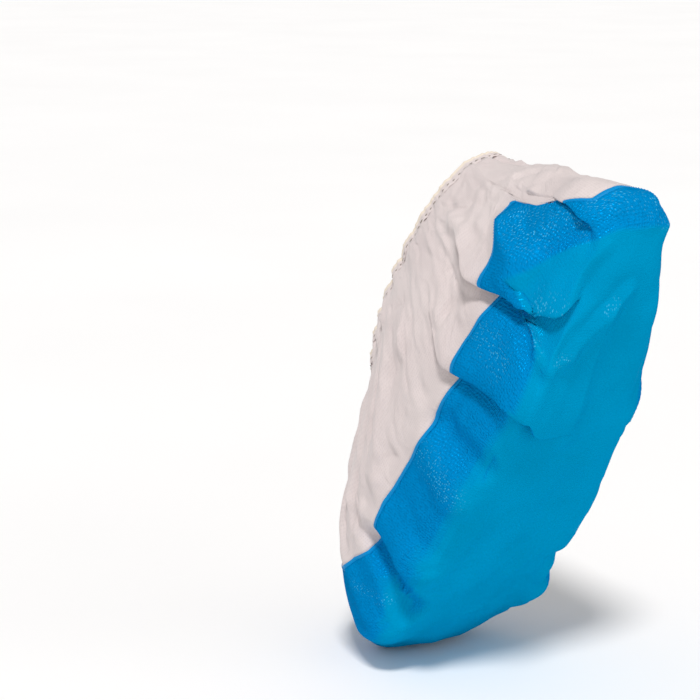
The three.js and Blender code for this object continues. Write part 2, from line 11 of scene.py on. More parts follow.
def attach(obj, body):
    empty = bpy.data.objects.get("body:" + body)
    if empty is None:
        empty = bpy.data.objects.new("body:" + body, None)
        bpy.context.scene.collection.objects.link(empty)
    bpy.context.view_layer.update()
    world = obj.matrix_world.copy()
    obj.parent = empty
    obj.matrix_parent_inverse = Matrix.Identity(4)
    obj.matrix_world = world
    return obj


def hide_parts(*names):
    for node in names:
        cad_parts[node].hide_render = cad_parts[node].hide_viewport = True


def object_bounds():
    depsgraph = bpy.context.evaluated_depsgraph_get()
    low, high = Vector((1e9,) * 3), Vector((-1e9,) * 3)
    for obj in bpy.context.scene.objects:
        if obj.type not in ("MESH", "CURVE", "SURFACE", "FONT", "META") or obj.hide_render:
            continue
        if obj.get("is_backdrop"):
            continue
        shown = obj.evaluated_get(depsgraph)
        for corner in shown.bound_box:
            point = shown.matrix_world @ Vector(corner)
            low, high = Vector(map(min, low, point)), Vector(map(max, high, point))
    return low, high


bl_info = {
    "name": "Disposable shoe cover",
    "version": (1, 0, 0),
    "blender": (4, 5, 0),
    "location": "3D View > Sidebar > Shoe cover",
    "description": "Makes a shoe cover in its worn form, with its film, cloth, welds and hem",
    "category": "Add Mesh",
}

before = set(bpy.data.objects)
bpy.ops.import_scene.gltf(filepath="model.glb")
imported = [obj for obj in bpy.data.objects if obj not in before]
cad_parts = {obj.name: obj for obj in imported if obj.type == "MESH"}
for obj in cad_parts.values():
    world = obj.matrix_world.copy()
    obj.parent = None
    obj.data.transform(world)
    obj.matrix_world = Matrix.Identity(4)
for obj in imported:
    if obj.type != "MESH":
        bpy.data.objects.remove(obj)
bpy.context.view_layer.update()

MM = 0.001

# ---- the form on the shoe, in millimetres and degrees ----------------------
#
# The cover is one skin. A point of it has two coordinates: round, 0 to 1 along a
# level line (0 toe, 0.25 near side, 0.5 heel, 0.75 far side), and girth, the way
# up the wall from the sole's edge, negative on the sole.

RIM_GIRTH = 124.0
HEM_WIDTH = 6.0
SOLE_REACH = 60.0
SOLE_END_RADIUS = 32.0
LEVEL_LENGTH = 800.0
SOLE_LINE = [  # station, tilt of the sole
    (-60, 0), (0, 3), (45, 14), (70, 37), (93, 52), (120, 55.5),
    (185, 58.5), (250, 64), (305, 66.5), (350, 71), (410, 78),
]
WALL_LEAN = [  # station, lean of the walls
    (-60, 6), (0, 10.5), (56, 26), (102, 45), (140, 57),
    (205, 64), (280, 66), (350, 69), (410, 72),
]
LEVEL_KEYS = ("widest", "toe", "heel", "half", "toe_square", "heel_square", "heel_width")
LEVELS = [  # girth, then the keys above
    (0, 104, 24, 345, 50, 2.7, 3.2, 0.8),
    (3.6, 109.4, 15.9, 355.8, 59, 2.7, 3.2, 0.765),
    (4.6, 110.3, 14.6, 357.7, 60.2, 2.7, 3.2, 0.759),
    (13, 114, 10, 367, 62, 2.7, 3.2, 0.74),
    (28, 118, 8, 370, 64, 2.7, 3.0, 0.75),
    (46, 122, 7, 364, 66, 2.5, 2.8, 0.75),
    (63, 138, 30, 358, 67, 2.3, 2.5, 0.76),
    (79, 180, 72, 353, 64, 2.1, 2.3, 0.8),
    (95, 220, 115, 345, 58, 2.0, 2.1, 0.85),
    (110, 238, 144, 339, 50, 2.0, 2.0, 0.92),
    (124, 246, 156, 336, 42, 2.0, 2.0, 1.0),
]
SEAM_LINE = [  # round, girth of the weld between film and cloth
    (0, 46), (0.09, 47), (0.12, 46.5), (0.143, 44), (0.163, 38), (0.175, 38.5), (0.2, 41),
    (0.218, 43), (0.256, 42.5), (0.283, 41), (0.302, 43), (0.322, 41), (0.3395, 38.5),
    (0.3445, 42), (0.355, 43), (0.364, 44.4), (0.374, 43), (0.385, 42), (0.398, 41.5),
    (0.403, 48.5), (0.408, 50.5), (0.425, 51), (0.431, 53), (0.4365, 57), (0.442, 63),
    (0.449, 67), (0.4535, 68.5), (0.4565, 66), (0.4577, 58), (0.4586, 48), (0.4594, 38),
    (0.4605, 32), (0.4645, 30.5), (0.471, 30), (0.474, 26), (0.48, 19), (0.49, 18),
    (0.503, 19.5), (0.511, 18.5), (0.519, 13), (0.529, 12.5), (0.545, 21), (0.57, 37),
    (0.6, 43), (0.68, 42), (0.8, 41), (0.9, 45), (1, 46),
]
# Where the heel is folded flat, the sole's edge is cut off: the cut runs straight
# from a girth on the wall to a reach in from the edge on the sole.
HEEL_CUT = [  # round, girth, reach
    (0.0, 0, 0), (0.350, 0, 0), (0.387, 4.6, 0), (0.3945, 19, 0), (0.400, 27, 0),
    (0.408, 35, 0.5), (0.414, 32, 1), (0.421, 27, 3), (0.436, 20, 12), (0.448, 13.5, 19),
    (0.466, 6.5, 20),
    (0.481, 4.5, 17), (0.50, 3.5, 16), (0.521, 4.5, 14), (0.535, 8, 14), (0.56, 9, 14),
    (0.60, 7, 12), (0.64, 3, 8), (0.665, 0, 0), (1.0, 0, 0),
]
EDGE_SOFTNESS = [  # round, half the length of skin over which the sole's edge turns
    (0, 7), (0.1, 9), (0.17, 20), (0.31, 19), (0.345, 3), (0.40, 1.5), (0.5, 1.5),
]

# Pleats: the layer on the heel side lies over the layer on the toe side.
PLEAT_TABLE = [  # path as (girth, round), strength as (girth, share), and sizes in mm
    {
        "path": [(-59, 0.316), (-49.7, 0.318), (-13.6, 0.333), (-1.5, 0.346), (8, 0.342),
                 (22.5, 0.337), (38.5, 0.335), (46, 0.336), (80, 0.336)],
        "strength": [(-60, 0), (-35, 0.7), (-12, 1), (48, 1), (64, 0.5), (80, 0)],
        "overhang": 8, "pocket": 3, "rise": 6, "run_up": 42,
    },
    {
        "path": [(-6, 0.430), (-3, 0.428), (0, 0.426), (3, 0.421), (6, 0.417), (9, 0.4145),
                 (12, 0.412), (14, 0.410), (16, 0.4062), (18, 0.4), (20, 0.3957), (24, 0.3948),
                 (28, 0.396), (38, 0.397), (57, 0.396)],
        "strength": [(-7, 0), (-3, 0.45), (1, 0.85), (14, 0.9), (22, 1), (58, 1), (74, 0.5),
                     (90, 0)],
        "overhang": 8, "pocket": 1.2, "rise": 7.5, "run_up": 36,
    },
    {
        "path": [(6, 0.4615), (13, 0.462), (30, 0.464), (60, 0.464)],
        "strength": [(6, 0), (13, 0.5), (20, 1), (32, 1), (46, 0)],
        "overhang": 4.5, "pocket": 2, "rise": 4, "run_up": 30,
    },
]
PLEAT_FADE = 20.0  # skin before a pleat that makes room for it
PLEAT_HOLD = 8.0  # skin to each side of a pleat whose columns follow it whole
LEAST_CREASE = 6.0  # girth of the mesh's crease where the heel isn't cut
CREASE_STEPS = 24  # to settle the crease on its pleated skin
FOLLOWED = (0.26, 0.54)  # rounds between which the columns follow the pleats
POCKET_RUN = -5.6  # where a pleat's skin turns back at the bottom of its pocket
LIP_RUN = 0.1  # where it turns back again at the lip
LONGEST_STEP = 5.0  # of a line of marks on one layer; a longer step is a jump
FOLD_SPREAD, PLEAT_SPREAD = 6, 14  # skin that says which way folds and pleats rise
FOLD_FADE = 30.0  # reach on the sole over which the walls' ridges fade out
SOLE_FADE = 10.0  # girth up to which the sole's own ridges fade out

# Ridges (height above 0) and valleys along lines of (round, girth) on the skin.
FOLDS = [  # line, height, width, sharpness
    ([(0.178, 40), (0.167, 19.5), (0.156, 9), (0.142, -4)], -9, 14, 0),
    ([(0.204, 34), (0.186, 4)], 4, 20, 0),
    ([(0.125, 42), (0.118, 18), (0.115, 4)], 4, 16, 0),
    ([(0.826, 38), (0.852, 0)], -6, 15, 0),
    # the heel's near lobe: its ridge, its dome and the valley behind it
    ([(0.441, 60), (0.431, 46), (0.424, 35)], 7.5, 12, 1),
    ([(0.446, 46), (0.441, 32)], 3.5, 20, 0),
    ([(0.441, 25), (0.452, 17), (0.461, 10)], -4, 9, 0),
    # the hollows under the lips
    ([(0.398, 46), (0.396, 30)], -5, 15, 0),
    ([(0.396, 30), (0.386, 12), (0.382, 2)], -3.5, 8, 0),
    ([(0.337, 40), (0.337, 14)], -4, 15, 0),
    # the far lobe, and the flattened back of the heel
    ([(0.492, 15), (0.512, 12)], 3.5, 13, 0),
    ([(0.531, 7), (0.545, 16)], 2, 8, 1),
    ([(0.507, 50), (0.512, 36)], -4.2, 24, 0),
    ([(0.297, 38), (0.293, 28), (0.291, 4)], -4, 14, 0),
    ([(0.278, 39), (0.256, 8)], 3, 16, 0),
    # the upper's long soft folds
    ([(0.406, 96), (0.405, 60)], 4, 12, 0),
    ([(0.376, 84), (0.366, 50)], -3, 14, 0),
    ([(0.27, 104), (0.22, 52)], 3, 14, 0),
    ([(0.21, 100), (0.17, 56)], -3.5, 14, 0),
    ([(0.13, 100), (0.12, 56)], 3.5, 12, 0),
    ([(0.76, 104), (0.79, 52)], 3.5, 16, 0),
    ([(0.62, 104), (0.62, 56)], 3.5, 16, 0),
    # the far edge of the sole
    ([(0.552, 9), (0.59, 6)], -4.0, 18, 0),
    ([(0.60, 4), (0.65, 3)], -4.5, 20, 0),
    ([(0.668, 3), (0.68, 2)], -0.5, 14, 0),
    ([(0.828, -14), (0.832, 16)], -3.5, 9, 0),
    ([(0.850, -12), (0.848, 8)], 4, 10, 0),
    ([(0.880, -16), (0.868, 14)], 2, 10, 0),
    ([(0.905, -20), (0.900, 10)], -3, 10, 0),
]
# The same on the sole, along lines of (station, side).
SOLE_FOLDS = [
    ([(322, 1), (305, -12), (288, -23)], 2.8, 8, 1),
    ([(308, -8), (278, -7), (241, -4), (229, -1)], 3.0, 11, 1),
    ([(281, -33), (284, -22)], 1.8, 6, 1),
    ([(240, 6), (150, 12)], -1.5, 26, 0),
    ([(300, 26), (210, 18)], 1.5, 20, 0),
    ([(30, -20), (44, -6), (40, 18)], 7.5, 32, 0),
]

# Painted highlights: along these lines the emboss's points are painted pale as glints, on the walls
# and on the sole.
PAINTED_GLINT_LINES = [  # line, width
    ([(0.450, 54), (0.442, 36)], 17), ([(0.453, 30), (0.461, 14)], 8),
    ([(0.480, 17), (0.494, 14)], 8), ([(0.508, 13), (0.527, 8)], 9),
    ([(0.421, 15), (0.4315, 3)], 7), ([(0.396, 24), (0.391, 8)], 6),
    ([(0.372, 38), (0.366, 18)], 10), ([(0.272, 38), (0.260, 12)], 13),
    ([(0.128, 34), (0.146, 12)], 5),
]
SOLE_PAINTED_GLINT_LINES = [([(318, -6), (313, -11)], 3.5), ([(285, -25), (286, -32)], 3.5)]

# ---- small mathematics ------------------------------------------------------


def smooth(value):
    """0 below 0, 1 above 1, and an even turn between them."""
    t = np.clip(value, 0, 1)
    return t * t * (3 - 2 * t)


def table_curve(rows):
    """A smooth curve through a table of (x, y) rows that never overshoots them."""
    xs, ys = np.array(rows, float).T
    rise = np.diff(ys) / np.diff(xs)
    slope = np.concatenate([rise[:1], np.zeros(len(xs) - 2), rise[-1:]])
    same = rise[:-1] * rise[1:] > 0
    both = np.where(same, rise[:-1] + rise[1:], 1)
    slope[1:-1] = np.where(same, 2 * rise[:-1] * rise[1:] / both, 0)

    def curve(x):
        at = np.clip(x, xs[0], xs[-1])
        row = np.clip(np.searchsorted(xs, at, side="right") - 1, 0, len(xs) - 2)
        span = xs[row + 1] - xs[row]
        t = (at - xs[row]) / span
        return (
            (2 * t**3 - 3 * t**2 + 1) * ys[row]
            + (t**3 - 2 * t**2 + t) * span * slope[row]
            + (3 * t**2 - 2 * t**3) * ys[row + 1]
            + (t**3 - t**2) * span * slope[row + 1]
        )

    return curve


def unit(vectors):
    """The same directions with length 1."""
    length = np.linalg.norm(vectors, axis=-1, keepdims=True)
    return vectors / np.maximum(length, 1e-9)


# ---- the unfolded cover -----------------------------------------------------


class Form:
    """The unfolded cover: level lines stacked over the sole's bent centre line."""

    STATION_STEP = 2.0
    GIRTH_STEP = 1.0
    LINE_COUNT = 1440  # points kept of each level line
    LINE_STEPS = 2880  # points it is first worked out at
    HEM_POINTS = 64  # whose mean is the middle of the hem
    SHARPEST = 1.5  # half the skin over which the sharpest edge turns
    EDGE_KEEP, EDGE_FADE = 12, 34  # skin beside the sole's edge that keeps its turn, and loses it
    CUT_TURN = 10  # how much more skin turns on the sole beside the heel's cut
    CUT_START, CUT_GROWTH = 3, 12  # reach on the sole where that starts, and over which it grows
    TAPS, TAP_SPREAD = 9, 2.2  # places averaged over a turn, and how evenly they count
    ROUND_PROBE, GIRTH_PROBE = 0.002, 0.8  # steps aside that tell which way the skin faces

    lean = staticmethod(table_curve(WALL_LEAN))
    cut_girth = staticmethod(table_curve([(row[0], row[1]) for row in HEEL_CUT]))
    cut_reach = staticmethod(table_curve([(row[0], row[2]) for row in HEEL_CUT]))
    edge_width = staticmethod(table_curve(EDGE_SOFTNESS))

    def __init__(self):
        tilt = table_curve(SOLE_LINE)
        first, last = SOLE_LINE[0][0], SOLE_LINE[-1][0]
        self.stations = np.arange(first, last + self.STATION_STEP, self.STATION_STEP)
        middles = np.radians(tilt(self.stations[:-1] + self.STATION_STEP / 2))
        steps = self.STATION_STEP * np.stack([np.cos(middles), np.sin(middles)])
        walked = np.concatenate([np.zeros((2, 1)), np.cumsum(steps, axis=1)], axis=1)
        self.sole_x, self.sole_z = walked
        columns = np.array(LEVELS, float).T
        self.level = {
            key: table_curve(np.stack([columns[0], column], axis=1))
            for key, column in zip(LEVEL_KEYS, columns[1:])
        }
        girths = np.arange(0, RIM_GIRTH + 2 * self.GIRTH_STEP, self.GIRTH_STEP)
        self.lines = np.stack([self.level_line(min(girth, RIM_GIRTH)) for girth in girths])
        self.sole_start = LEVELS[0][2] + SOLE_END_RADIUS
        self.sole_end = LEVELS[0][3] - SOLE_END_RADIUS
        self.centre = np.zeros(3)
        around = np.arange(self.HEM_POINTS) / self.HEM_POINTS
        hem = self.plain(around, np.full(self.HEM_POINTS, RIM_GIRTH))
        self.centre = hem.mean(axis=0)

    def place(self, station, side, height):
        """The place of a point given by its station, its side offset and its height."""
        lean = np.radians(self.lean(station))
        x = np.interp(station, self.stations, self.sole_x) - height * np.sin(lean)
        z = np.interp(station, self.stations, self.sole_z) + height * np.cos(lean)
        side = np.broadcast_to(side, x.shape)
        return np.stack([x, side, z], axis=-1) - self.centre

    def level_line(self, girth):
        """One level line as evenly spaced (station, side) points."""
        turn = np.linspace(0, 2 * math.pi, self.LINE_STEPS + 1)
        c, s = np.cos(turn), np.sin(turn)
        level = {key: float(curve(girth)) for key, curve in self.level.items()}
        toe_side = c > 0
        reach = np.where(toe_side, level["widest"] - level["toe"], level["heel"] - level["widest"])
        power = 2 / np.where(toe_side, level["toe_square"], level["heel_square"])
        station = level["widest"] - np.sign(c) * reach * np.abs(c) ** power
        taper = (station - level["widest"]) / reach * (level["heel_width"] - 1)
        narrowing = np.where(toe_side, 0, taper)
        side = -np.sign(s) * level["half"] * (1 + narrowing) * np.abs(s) ** power
        run = np.concatenate([[0], np.cumsum(np.hypot(np.diff(station), np.diff(side)))])
        wanted = np.linspace(0, run[-1], self.LINE_COUNT + 1)
        return np.stack([np.interp(wanted, run, station), np.interp(wanted, run, side)], 1)

    def on_level(self, around, girth):
        """(station, side) on a level line, between the stored lines."""
        turn = np.mod(around, 1.0) * self.LINE_COUNT
        column = np.minimum(turn.astype(int), self.LINE_COUNT - 1)
        up = np.clip(girth / self.GIRTH_STEP, 0, len(self.lines) - 1.001)
        row = up.astype(int)
        s, t = (turn - column)[..., None], (up - row)[..., None]
        low = self.lines[row, column] * (1 - s) + self.lines[row, column + 1] * s
        high = self.lines[row + 1, column] * (1 - s) + self.lines[row + 1, column + 1] * s
        return np.moveaxis(low * (1 - t) + high * t, -1, 0)

    def sole_spot(self, around, girth):
        """(station, side) of a point on the flat of the sole."""
        station, side = self.on_level(around, np.maximum(girth, 0))
        share = 1 + np.minimum(girth, 0) / SOLE_REACH
        middle = np.clip(station, self.sole_start, self.sole_end)
        return middle + (station - middle) * share, side * share

    def plain(self, around, girth):
        """A point of the cover with a sharp sole edge."""
        station, side = self.sole_spot(around, girth)
        return self.place(station, side, np.maximum(girth, 0))

    def folded(self, around, girth):
        """A point of the cover with the sole's edge cut off along the heel."""
        place = np.mod(around, 1.0)
        top, reach = self.cut_girth(place), self.cut_reach(place)
        share = (girth + reach) / np.maximum(top + reach, 1e-6)
        points = self.plain(around, girth)
        cut = (share > 0) & (share < 1)
        if not np.any(cut):
            return points
        low = self.plain(around[cut], -reach[cut])
        high = self.plain(around[cut], top[cut])
        points[cut] = low + (high - low) * share[cut][:, None]
        return points

    def soft(self, around, girth, least=SHARPEST):
        """A point of the cover with its sole's edge turned softly."""
        place = np.mod(around, 1.0)
        width = np.maximum(self.edge_width(np.minimum(place, 1 - place)), least)
        fade = smooth((np.abs(girth) - self.EDGE_KEEP) / self.EDGE_FADE)
        width = self.SHARPEST + (width - self.SHARPEST) * (1 - fade)
        cut = smooth(self.cut_reach(place) / self.CUT_TURN)
        width = width + self.CUT_TURN * cut * smooth((-girth - self.CUT_START) / self.CUT_GROWTH)
        taps = np.linspace(-1, 1, self.TAPS)
        weights = np.cos(taps * math.pi / self.TAP_SPREAD) ** 2
        weights /= weights.sum()
        around, girth, width = np.broadcast_arrays(around, girth, width)
        total = 0
        for tap, weight in zip(taps, weights):
            total = total + weight * self.folded(around, girth + tap * width)
        return total

    def outward(self, around, girth, spread):
        """The outward direction of the unfolded cover, averaged over a spread of skin."""
        at = np.maximum(girth, 1 - SOLE_REACH)
        left, right = around + self.ROUND_PROBE, around - self.ROUND_PROBE
        along = self.soft(left, at, spread) - self.soft(right, at, spread)
        high, low = at + self.GIRTH_PROBE, at - self.GIRTH_PROBE
        up = self.soft(around, high, spread) - self.soft(around, low, spread)
        return unit(np.cross(along, up))


FORM = Form()

# ---- folds ------------------------------------------------------------------


class Pleat:
    """A pleat of the skin, with its lip over its pocket."""

    def __init__(self, path, strength, overhang, pocket, rise, run_up):
        shift = overhang / LEVEL_LENGTH
        self.run_up = run_up
        self.at = table_curve([(girth, around + shift) for girth, around in path])
        self.home = path[-1][1] + shift
        self.share = table_curve(strength)
        rows = [
            # run, place, height as a share of the rise
            (-PLEAT_FADE, -PLEAT_FADE, 0),
            (-12, -9, 0),
            (-6.5, pocket - 1.2, 0.02),
            (-6.0, pocket - 0.3, 0.06),
            (POCKET_RUN, pocket, 0.12),
            (-5.2, pocket - 0.3, 0.2),
            (-4.6, pocket - 1.4, 0.27),
            (-1.4, 1.6 - overhang, 0.66),
            (-0.8, 0.35 - overhang, 0.74),
            (-0.3, -0.1 - overhang, 0.8),
            (LIP_RUN, -0.15 - overhang, 0.86),
            (0.5, -overhang, 0.92),
            (1.2, 0.7 - overhang, 0.97),
            (3.0, 2.8 - overhang, 1),
            (0.4 * run_up, 0.32 * run_up, 0.62),
            (run_up, run_up, 0),
        ]
        runs, places, heights = np.array(rows, float).T
        self.place = table_curve(np.stack([runs, places], 1))
        self.height = table_curve(np.stack([runs, heights * rise], 1))
        self.spare = table_curve([(POCKET_RUN, 0), (LIP_RUN, 2 * (overhang + pocket))])

    def move(self, around, girth):
        """How it moves the skin: along its level line, outward, and its spare cloth."""
        share = self.share(girth)
        run = (around - self.at(girth)) * LEVEL_LENGTH
        inside = (run > -PLEAT_FADE) & (run < self.run_up)
        sideways = np.where(inside, (self.place(run) - run) * share, 0)
        outward = np.where(inside, self.height(run) * share, 0)
        taken = np.where(run > LIP_RUN, self.spare(LIP_RUN), np.where(inside, self.spare(run), 0))
        return sideways, outward, taken * share


PLEATS = [Pleat(**row) for row in PLEAT_TABLE]


def ridge(across, along, line, height, width, sharp):
    """Height of a ridge along a line in a plane, in the plane's own units."""
    line = np.asarray(line, float)
    off = np.full(np.shape(across), np.inf)
    for start, end in zip(line[:-1], line[1:]):
        step = end - start
        px, py = across - start[0], along - start[1]
        share = np.clip((px * step[0] + py * step[1]) / (step @ step), 0, 1)
        off = np.minimum(off, np.hypot(px - share * step[0], py - share * step[1]))
    flank = np.clip(1 - off / width, 0, 1)
    return height * (flank**1.15 if sharp else smooth(flank))


def line_heights(around, girth, on_wall, wall_lines, sole_lines):
    """The heights that each line in turn gives to points of the skin."""
    for line, height, width, sharp in wall_lines:
        line = np.array(line) * (LEVEL_LENGTH, 1)
        yield on_wall * ridge(around * LEVEL_LENGTH, girth, line, height, width, sharp)
    station, side = FORM.sole_spot(around, girth)
    on_sole = smooth(1 - girth / SOLE_FADE)
    for line, height, width, sharp in sole_lines:
        yield on_sole * ridge(station, side, line, height, width, sharp)


def fold_lift(around, girth):
    """The ridges and valleys of wall and sole."""
    on_wall = smooth((girth + FOLD_FADE) / FOLD_FADE)
    return sum(line_heights(around, girth, on_wall, FOLDS, SOLE_FOLDS))


def painted_glint_share(around, girth):
    """How strongly points of the skin get painted glints, from 0 to 1."""
    lines = [[(line, 1, width, 0) for line, width in rows] for rows in (PAINTED_GLINT_LINES, SOLE_PAINTED_GLINT_LINES)]
    return np.max(list(line_heights(around, girth, 1, *lines)), axis=0)


class Gathers:
    """The fullness that the elastic draws up: short waves die out soonest."""

    SEED = 11
    COUNTS = np.arange(13, 96)  # waves round the hem
    START = 70.0  # girth from which the main folds rise
    FADE = 0.0085  # of each wave, per millimetre below the rim

    def __init__(self, settings):
        draw = np.random.default_rng(self.SEED)
        self.heights = draw.uniform(0.3, 1.0, len(self.COUNTS)) / self.COUNTS**0.55
        self.turns = draw.uniform(0, 2 * math.pi, len(self.COUNTS))
        self.main = settings.gathers
        self.height = settings.gather_height / MM

    def lift(self, around, girth):
        turn = 2 * math.pi * around
        share = np.clip((girth - self.START) / (RIM_GIRTH - self.START), 0, 1)
        uneven = 0.6 + 0.4 * np.cos(turn)
        wave = np.cos(self.main * turn + 1.2 * np.cos(3 * turn))
        lift = 0.6 * self.height * share * uneven * wave
        below = np.maximum(RIM_GIRTH - girth, 0)
        for count, height, start in zip(self.COUNTS, self.heights, self.turns):
            fading = np.exp(-count * below * self.FADE)
            lift = lift + 1.5 * uneven * height * fading * np.cos(count * turn + start)
        return lift


def cylinder(around, girth, height_share=1.0):
    """The skin's coordinates wrapped on a round drum, for patterns without a join."""
    radius = LEVEL_LENGTH / (2 * math.pi)
    turn = 2 * math.pi * around
    return np.stack([radius * np.cos(turn), radius * np.sin(turn), girth * height_share], -1)


def soft_noise(points, size, seed):
    """Smooth noise from -1 to 1 with lumps of about the given size."""
    flat = points.reshape(-1, 3) / size + np.array([seed, 3.7 * seed, -1.3 * seed])
    values = np.fromiter((noise.noise(Vector(point)) for point in flat), float, len(flat))
    return values.reshape(points.shape[:-1])


def creases(across, along, area, count, seed, length, width, height):
    """Small crumples: short crisp ridges and valleys strewn over an area in mm."""
    draw = np.random.default_rng(seed)
    x0, x1, y0, y1 = area
    lift = 0
    for _ in range(count):
        at = np.array([draw.uniform(x0, x1), draw.uniform(y0, y1)])
        angle = draw.uniform(0, math.pi)
        reach = draw.uniform(*length)
        step = 0.5 * reach * np.array([math.cos(angle), math.sin(angle)])
        tall = draw.uniform(*height) * draw.choice([-1, 1])
        wide = draw.uniform(*width)
        lift = lift + ridge(across, along, [at - step, at + step], tall, wide, True)
    return lift


def skin(around, girth, lift):
    """Points of the folded cover and the pattern coordinates of its sheet, in mm."""
    shift, rise, extra = 0, 0, 0
    for pleat in PLEATS:
        sideways, outward, spare = pleat.move(around, girth)
        shift = shift + sideways
        rise = rise + outward
        extra = extra + spare
    placed = around + shift / LEVEL_LENGTH
    lift = lift + fold_lift(around, girth)
    points = FORM.soft(placed, girth) + FORM.outward(placed, girth, FOLD_SPREAD) * lift[..., None]
    points = points + FORM.outward(placed, girth, PLEAT_SPREAD) * rise[..., None]
    pattern = np.stack([placed * LEVEL_LENGTH + extra, girth], -1)
    return points, pattern


# ---- grids and meshes -------------------------------------------------------

PLEAT_RUNS = np.concatenate([
    np.arange(-19.5, -7, 1.25),
    [-6.5, -6.25, -6.0, -5.8, -5.6, -5.4, -5.2, -4.9, -4.6],
    np.arange(-4.1, -1.5, 0.5),
    [-1.4, -1.1, -0.8, -0.55, -0.3, -0.1, 0.1, 0.3, 0.5, 0.8, 1.2, 1.7, 2.3, 3.0],
    np.arange(4.2, 20, 1.5),
])


def make_columns(spacing):
    """Rounds of the columns: even ones, and closer ones across each pleat."""
    even = np.arange(0, 1, spacing / LEVEL_LENGTH)
    low, high = PLEAT_RUNS[0] - spacing / 2, PLEAT_RUNS[-1] + spacing / 2
    for pleat in PLEATS:
        run = (even - pleat.home) * LEVEL_LENGTH
        even = even[(run < low) | (run > high)]
    close = [pleat.home + PLEAT_RUNS / LEVEL_LENGTH for pleat in PLEATS]
    return np.sort(np.concatenate([even, *close]))


def follow_pleats(around, girth):
    """Move the columns sideways so that those of a pleat follow its path."""
    hold = PLEAT_HOLD / LEVEL_LENGTH
    zero = np.zeros_like(girth)
    knots = [(FOLLOWED[0], zero)]
    for pleat in PLEATS:
        offset = pleat.at(girth) - pleat.home
        knots += [(pleat.home - hold, offset), (pleat.home + hold, offset)]
    knots.append((FOLLOWED[1], zero))
    moved = np.zeros_like(girth)
    for (a, at_a), (b, at_b) in zip(knots, knots[1:]):
        inside = (around >= a) & (around < b)
        t = (around - a) / (b - a)
        moved = np.where(inside, at_a * (1 - t) + at_b * t, moved)
    return around + moved


def seam_girth(around):
    """Girth of the middle of the weld between film and cloth."""
    rounds, girths = np.array(SEAM_LINE, float).T
    return np.interp(around, rounds, girths)


def placed_round(around, girth):
    """Where the pleats put points of the skin along their level lines."""
    shift = sum(pleat.move(around, girth)[0] for pleat in PLEATS)
    return around + shift / LEVEL_LENGTH


def weld_sides(sizes, columns):
    """Girths of the weld's lower and upper side."""
    half = sizes.weld_width / MM / 2
    return seam_girth(columns) - half, seam_girth(columns) + half


def cut_line(columns):
    """Girth of the crease along the top of the heel's cut, as a line to cut the mesh on."""
    girth = np.full_like(columns, LEAST_CREASE)
    for _ in range(CREASE_STEPS):
        placed = placed_round(follow_pleats(columns, girth), girth)
        girth = 0.6 * girth + 0.4 * np.maximum(FORM.cut_girth(placed), LEAST_CREASE)
    return girth


def band(columns, lines, shares):
    """Coordinates of a band of skin: rows at shares of the way from line to line."""
    rows = []
    for low, high, steps in zip(lines, lines[1:], shares):
        rows.append(low + (high - low) * np.asarray(steps)[:, None])
    girth = np.concatenate(rows)
    around = np.broadcast_to(columns, girth.shape)
    return follow_pleats(around, girth), girth


def new_mesh(name, points, faces):
    """A mesh from points in mm, and the vertex at each corner of its faces."""
    mesh = bpy.data.meshes.new(name)
    mesh.from_pydata((points.reshape(-1, 3) * MM).tolist(), [], faces)
    vertex = np.empty(len(mesh.loops), int)
    mesh.loops.foreach_get("vertex_index", vertex)
    return mesh, vertex


def set_pattern(mesh, uv):
    """Lay the corners of a smooth sheet out flat, in mm."""
    layer = mesh.uv_layers.new(name="cloth")
    layer.uv.foreach_set("vector", (uv * MM).ravel())
    mesh.shade_smooth()


def set_attribute(mesh, name, values):
    """Give each vertex of a mesh a value for its material to read."""
    attribute = mesh.attributes.new(name, "FLOAT", "POINT")
    attribute.data.foreach_set("value", np.asarray(values, float).reshape(-1))


def sheet_mesh(name, points, pattern, faces=(), flat=None):
    """A mesh of a band that closes round, with a UV map in metres of cloth.

    The pattern of the last column runs on to the join. flat gives the first rows, and the
    faces between them, a pattern of their own: (station, side) on the sole.
    """
    rows, count = points.shape[:2]
    index = np.arange(rows * count).reshape(rows, count)
    after = np.roll(index, -1, axis=1)
    quads = np.stack([index[:-1], after[:-1], after[1:], index[1:]], -1).reshape(-1, 4)
    mesh, vertex = new_mesh(name, points, quads.tolist() + list(faces))
    uv = pattern.reshape(-1, 2)[vertex]
    turn = pattern[:, -1, 0].max() + (pattern[:, 1, 0] - pattern[:, 0, 0]).max()
    last = np.zeros((rows - 1, count, 4), bool)
    last[:, -1, 1:3] = True
    uv[: last.size][last.reshape(-1), 0] += turn
    if flat is not None:
        on_sole = np.r_[: (len(flat) - 1) * count * 4, last.size : len(uv)]
        uv[on_sole] = flat.reshape(-1, 2)[vertex[on_sole]]
    set_pattern(mesh, uv)
    mesh.validate()
    return mesh


def new_object(name, data):
    """An object in the scene."""
    obj = bpy.data.objects.new(name, data)
    bpy.context.collection.objects.link(obj)
    return obj


def add_piece(mesh, node, material=None):
    """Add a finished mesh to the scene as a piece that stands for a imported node."""
    obj = new_object(mesh.name, mesh)
    if material:
        mesh.materials.append(material)
    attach(obj, "root")
    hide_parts(node)
    return obj


def thicken(obj, thickness):
    """Give a sheet its thickness, half to each side."""
    solid = obj.modifiers.new("thickness", "SOLIDIFY")
    solid.thickness = thickness
    solid.offset = 0
    solid.use_even_offset = False


def zip_middle(stations_near, stations_far, near, far):
    """Triangles between two rows of vertices that run side by side."""
    faces = []
    i = j = 0
    while i < len(near) - 1 or j < len(far) - 1:
        step_near = j == len(far) - 1 or (
            i < len(near) - 1 and stations_near[i + 1] <= stations_far[j + 1]
        )
        if step_near:
            faces.append((near[i], far[j], near[i + 1]))
            i += 1
        else:
            faces.append((near[i], far[j], far[j + 1]))
            j += 1
    return [face for face in faces if len(set(face)) == 3]


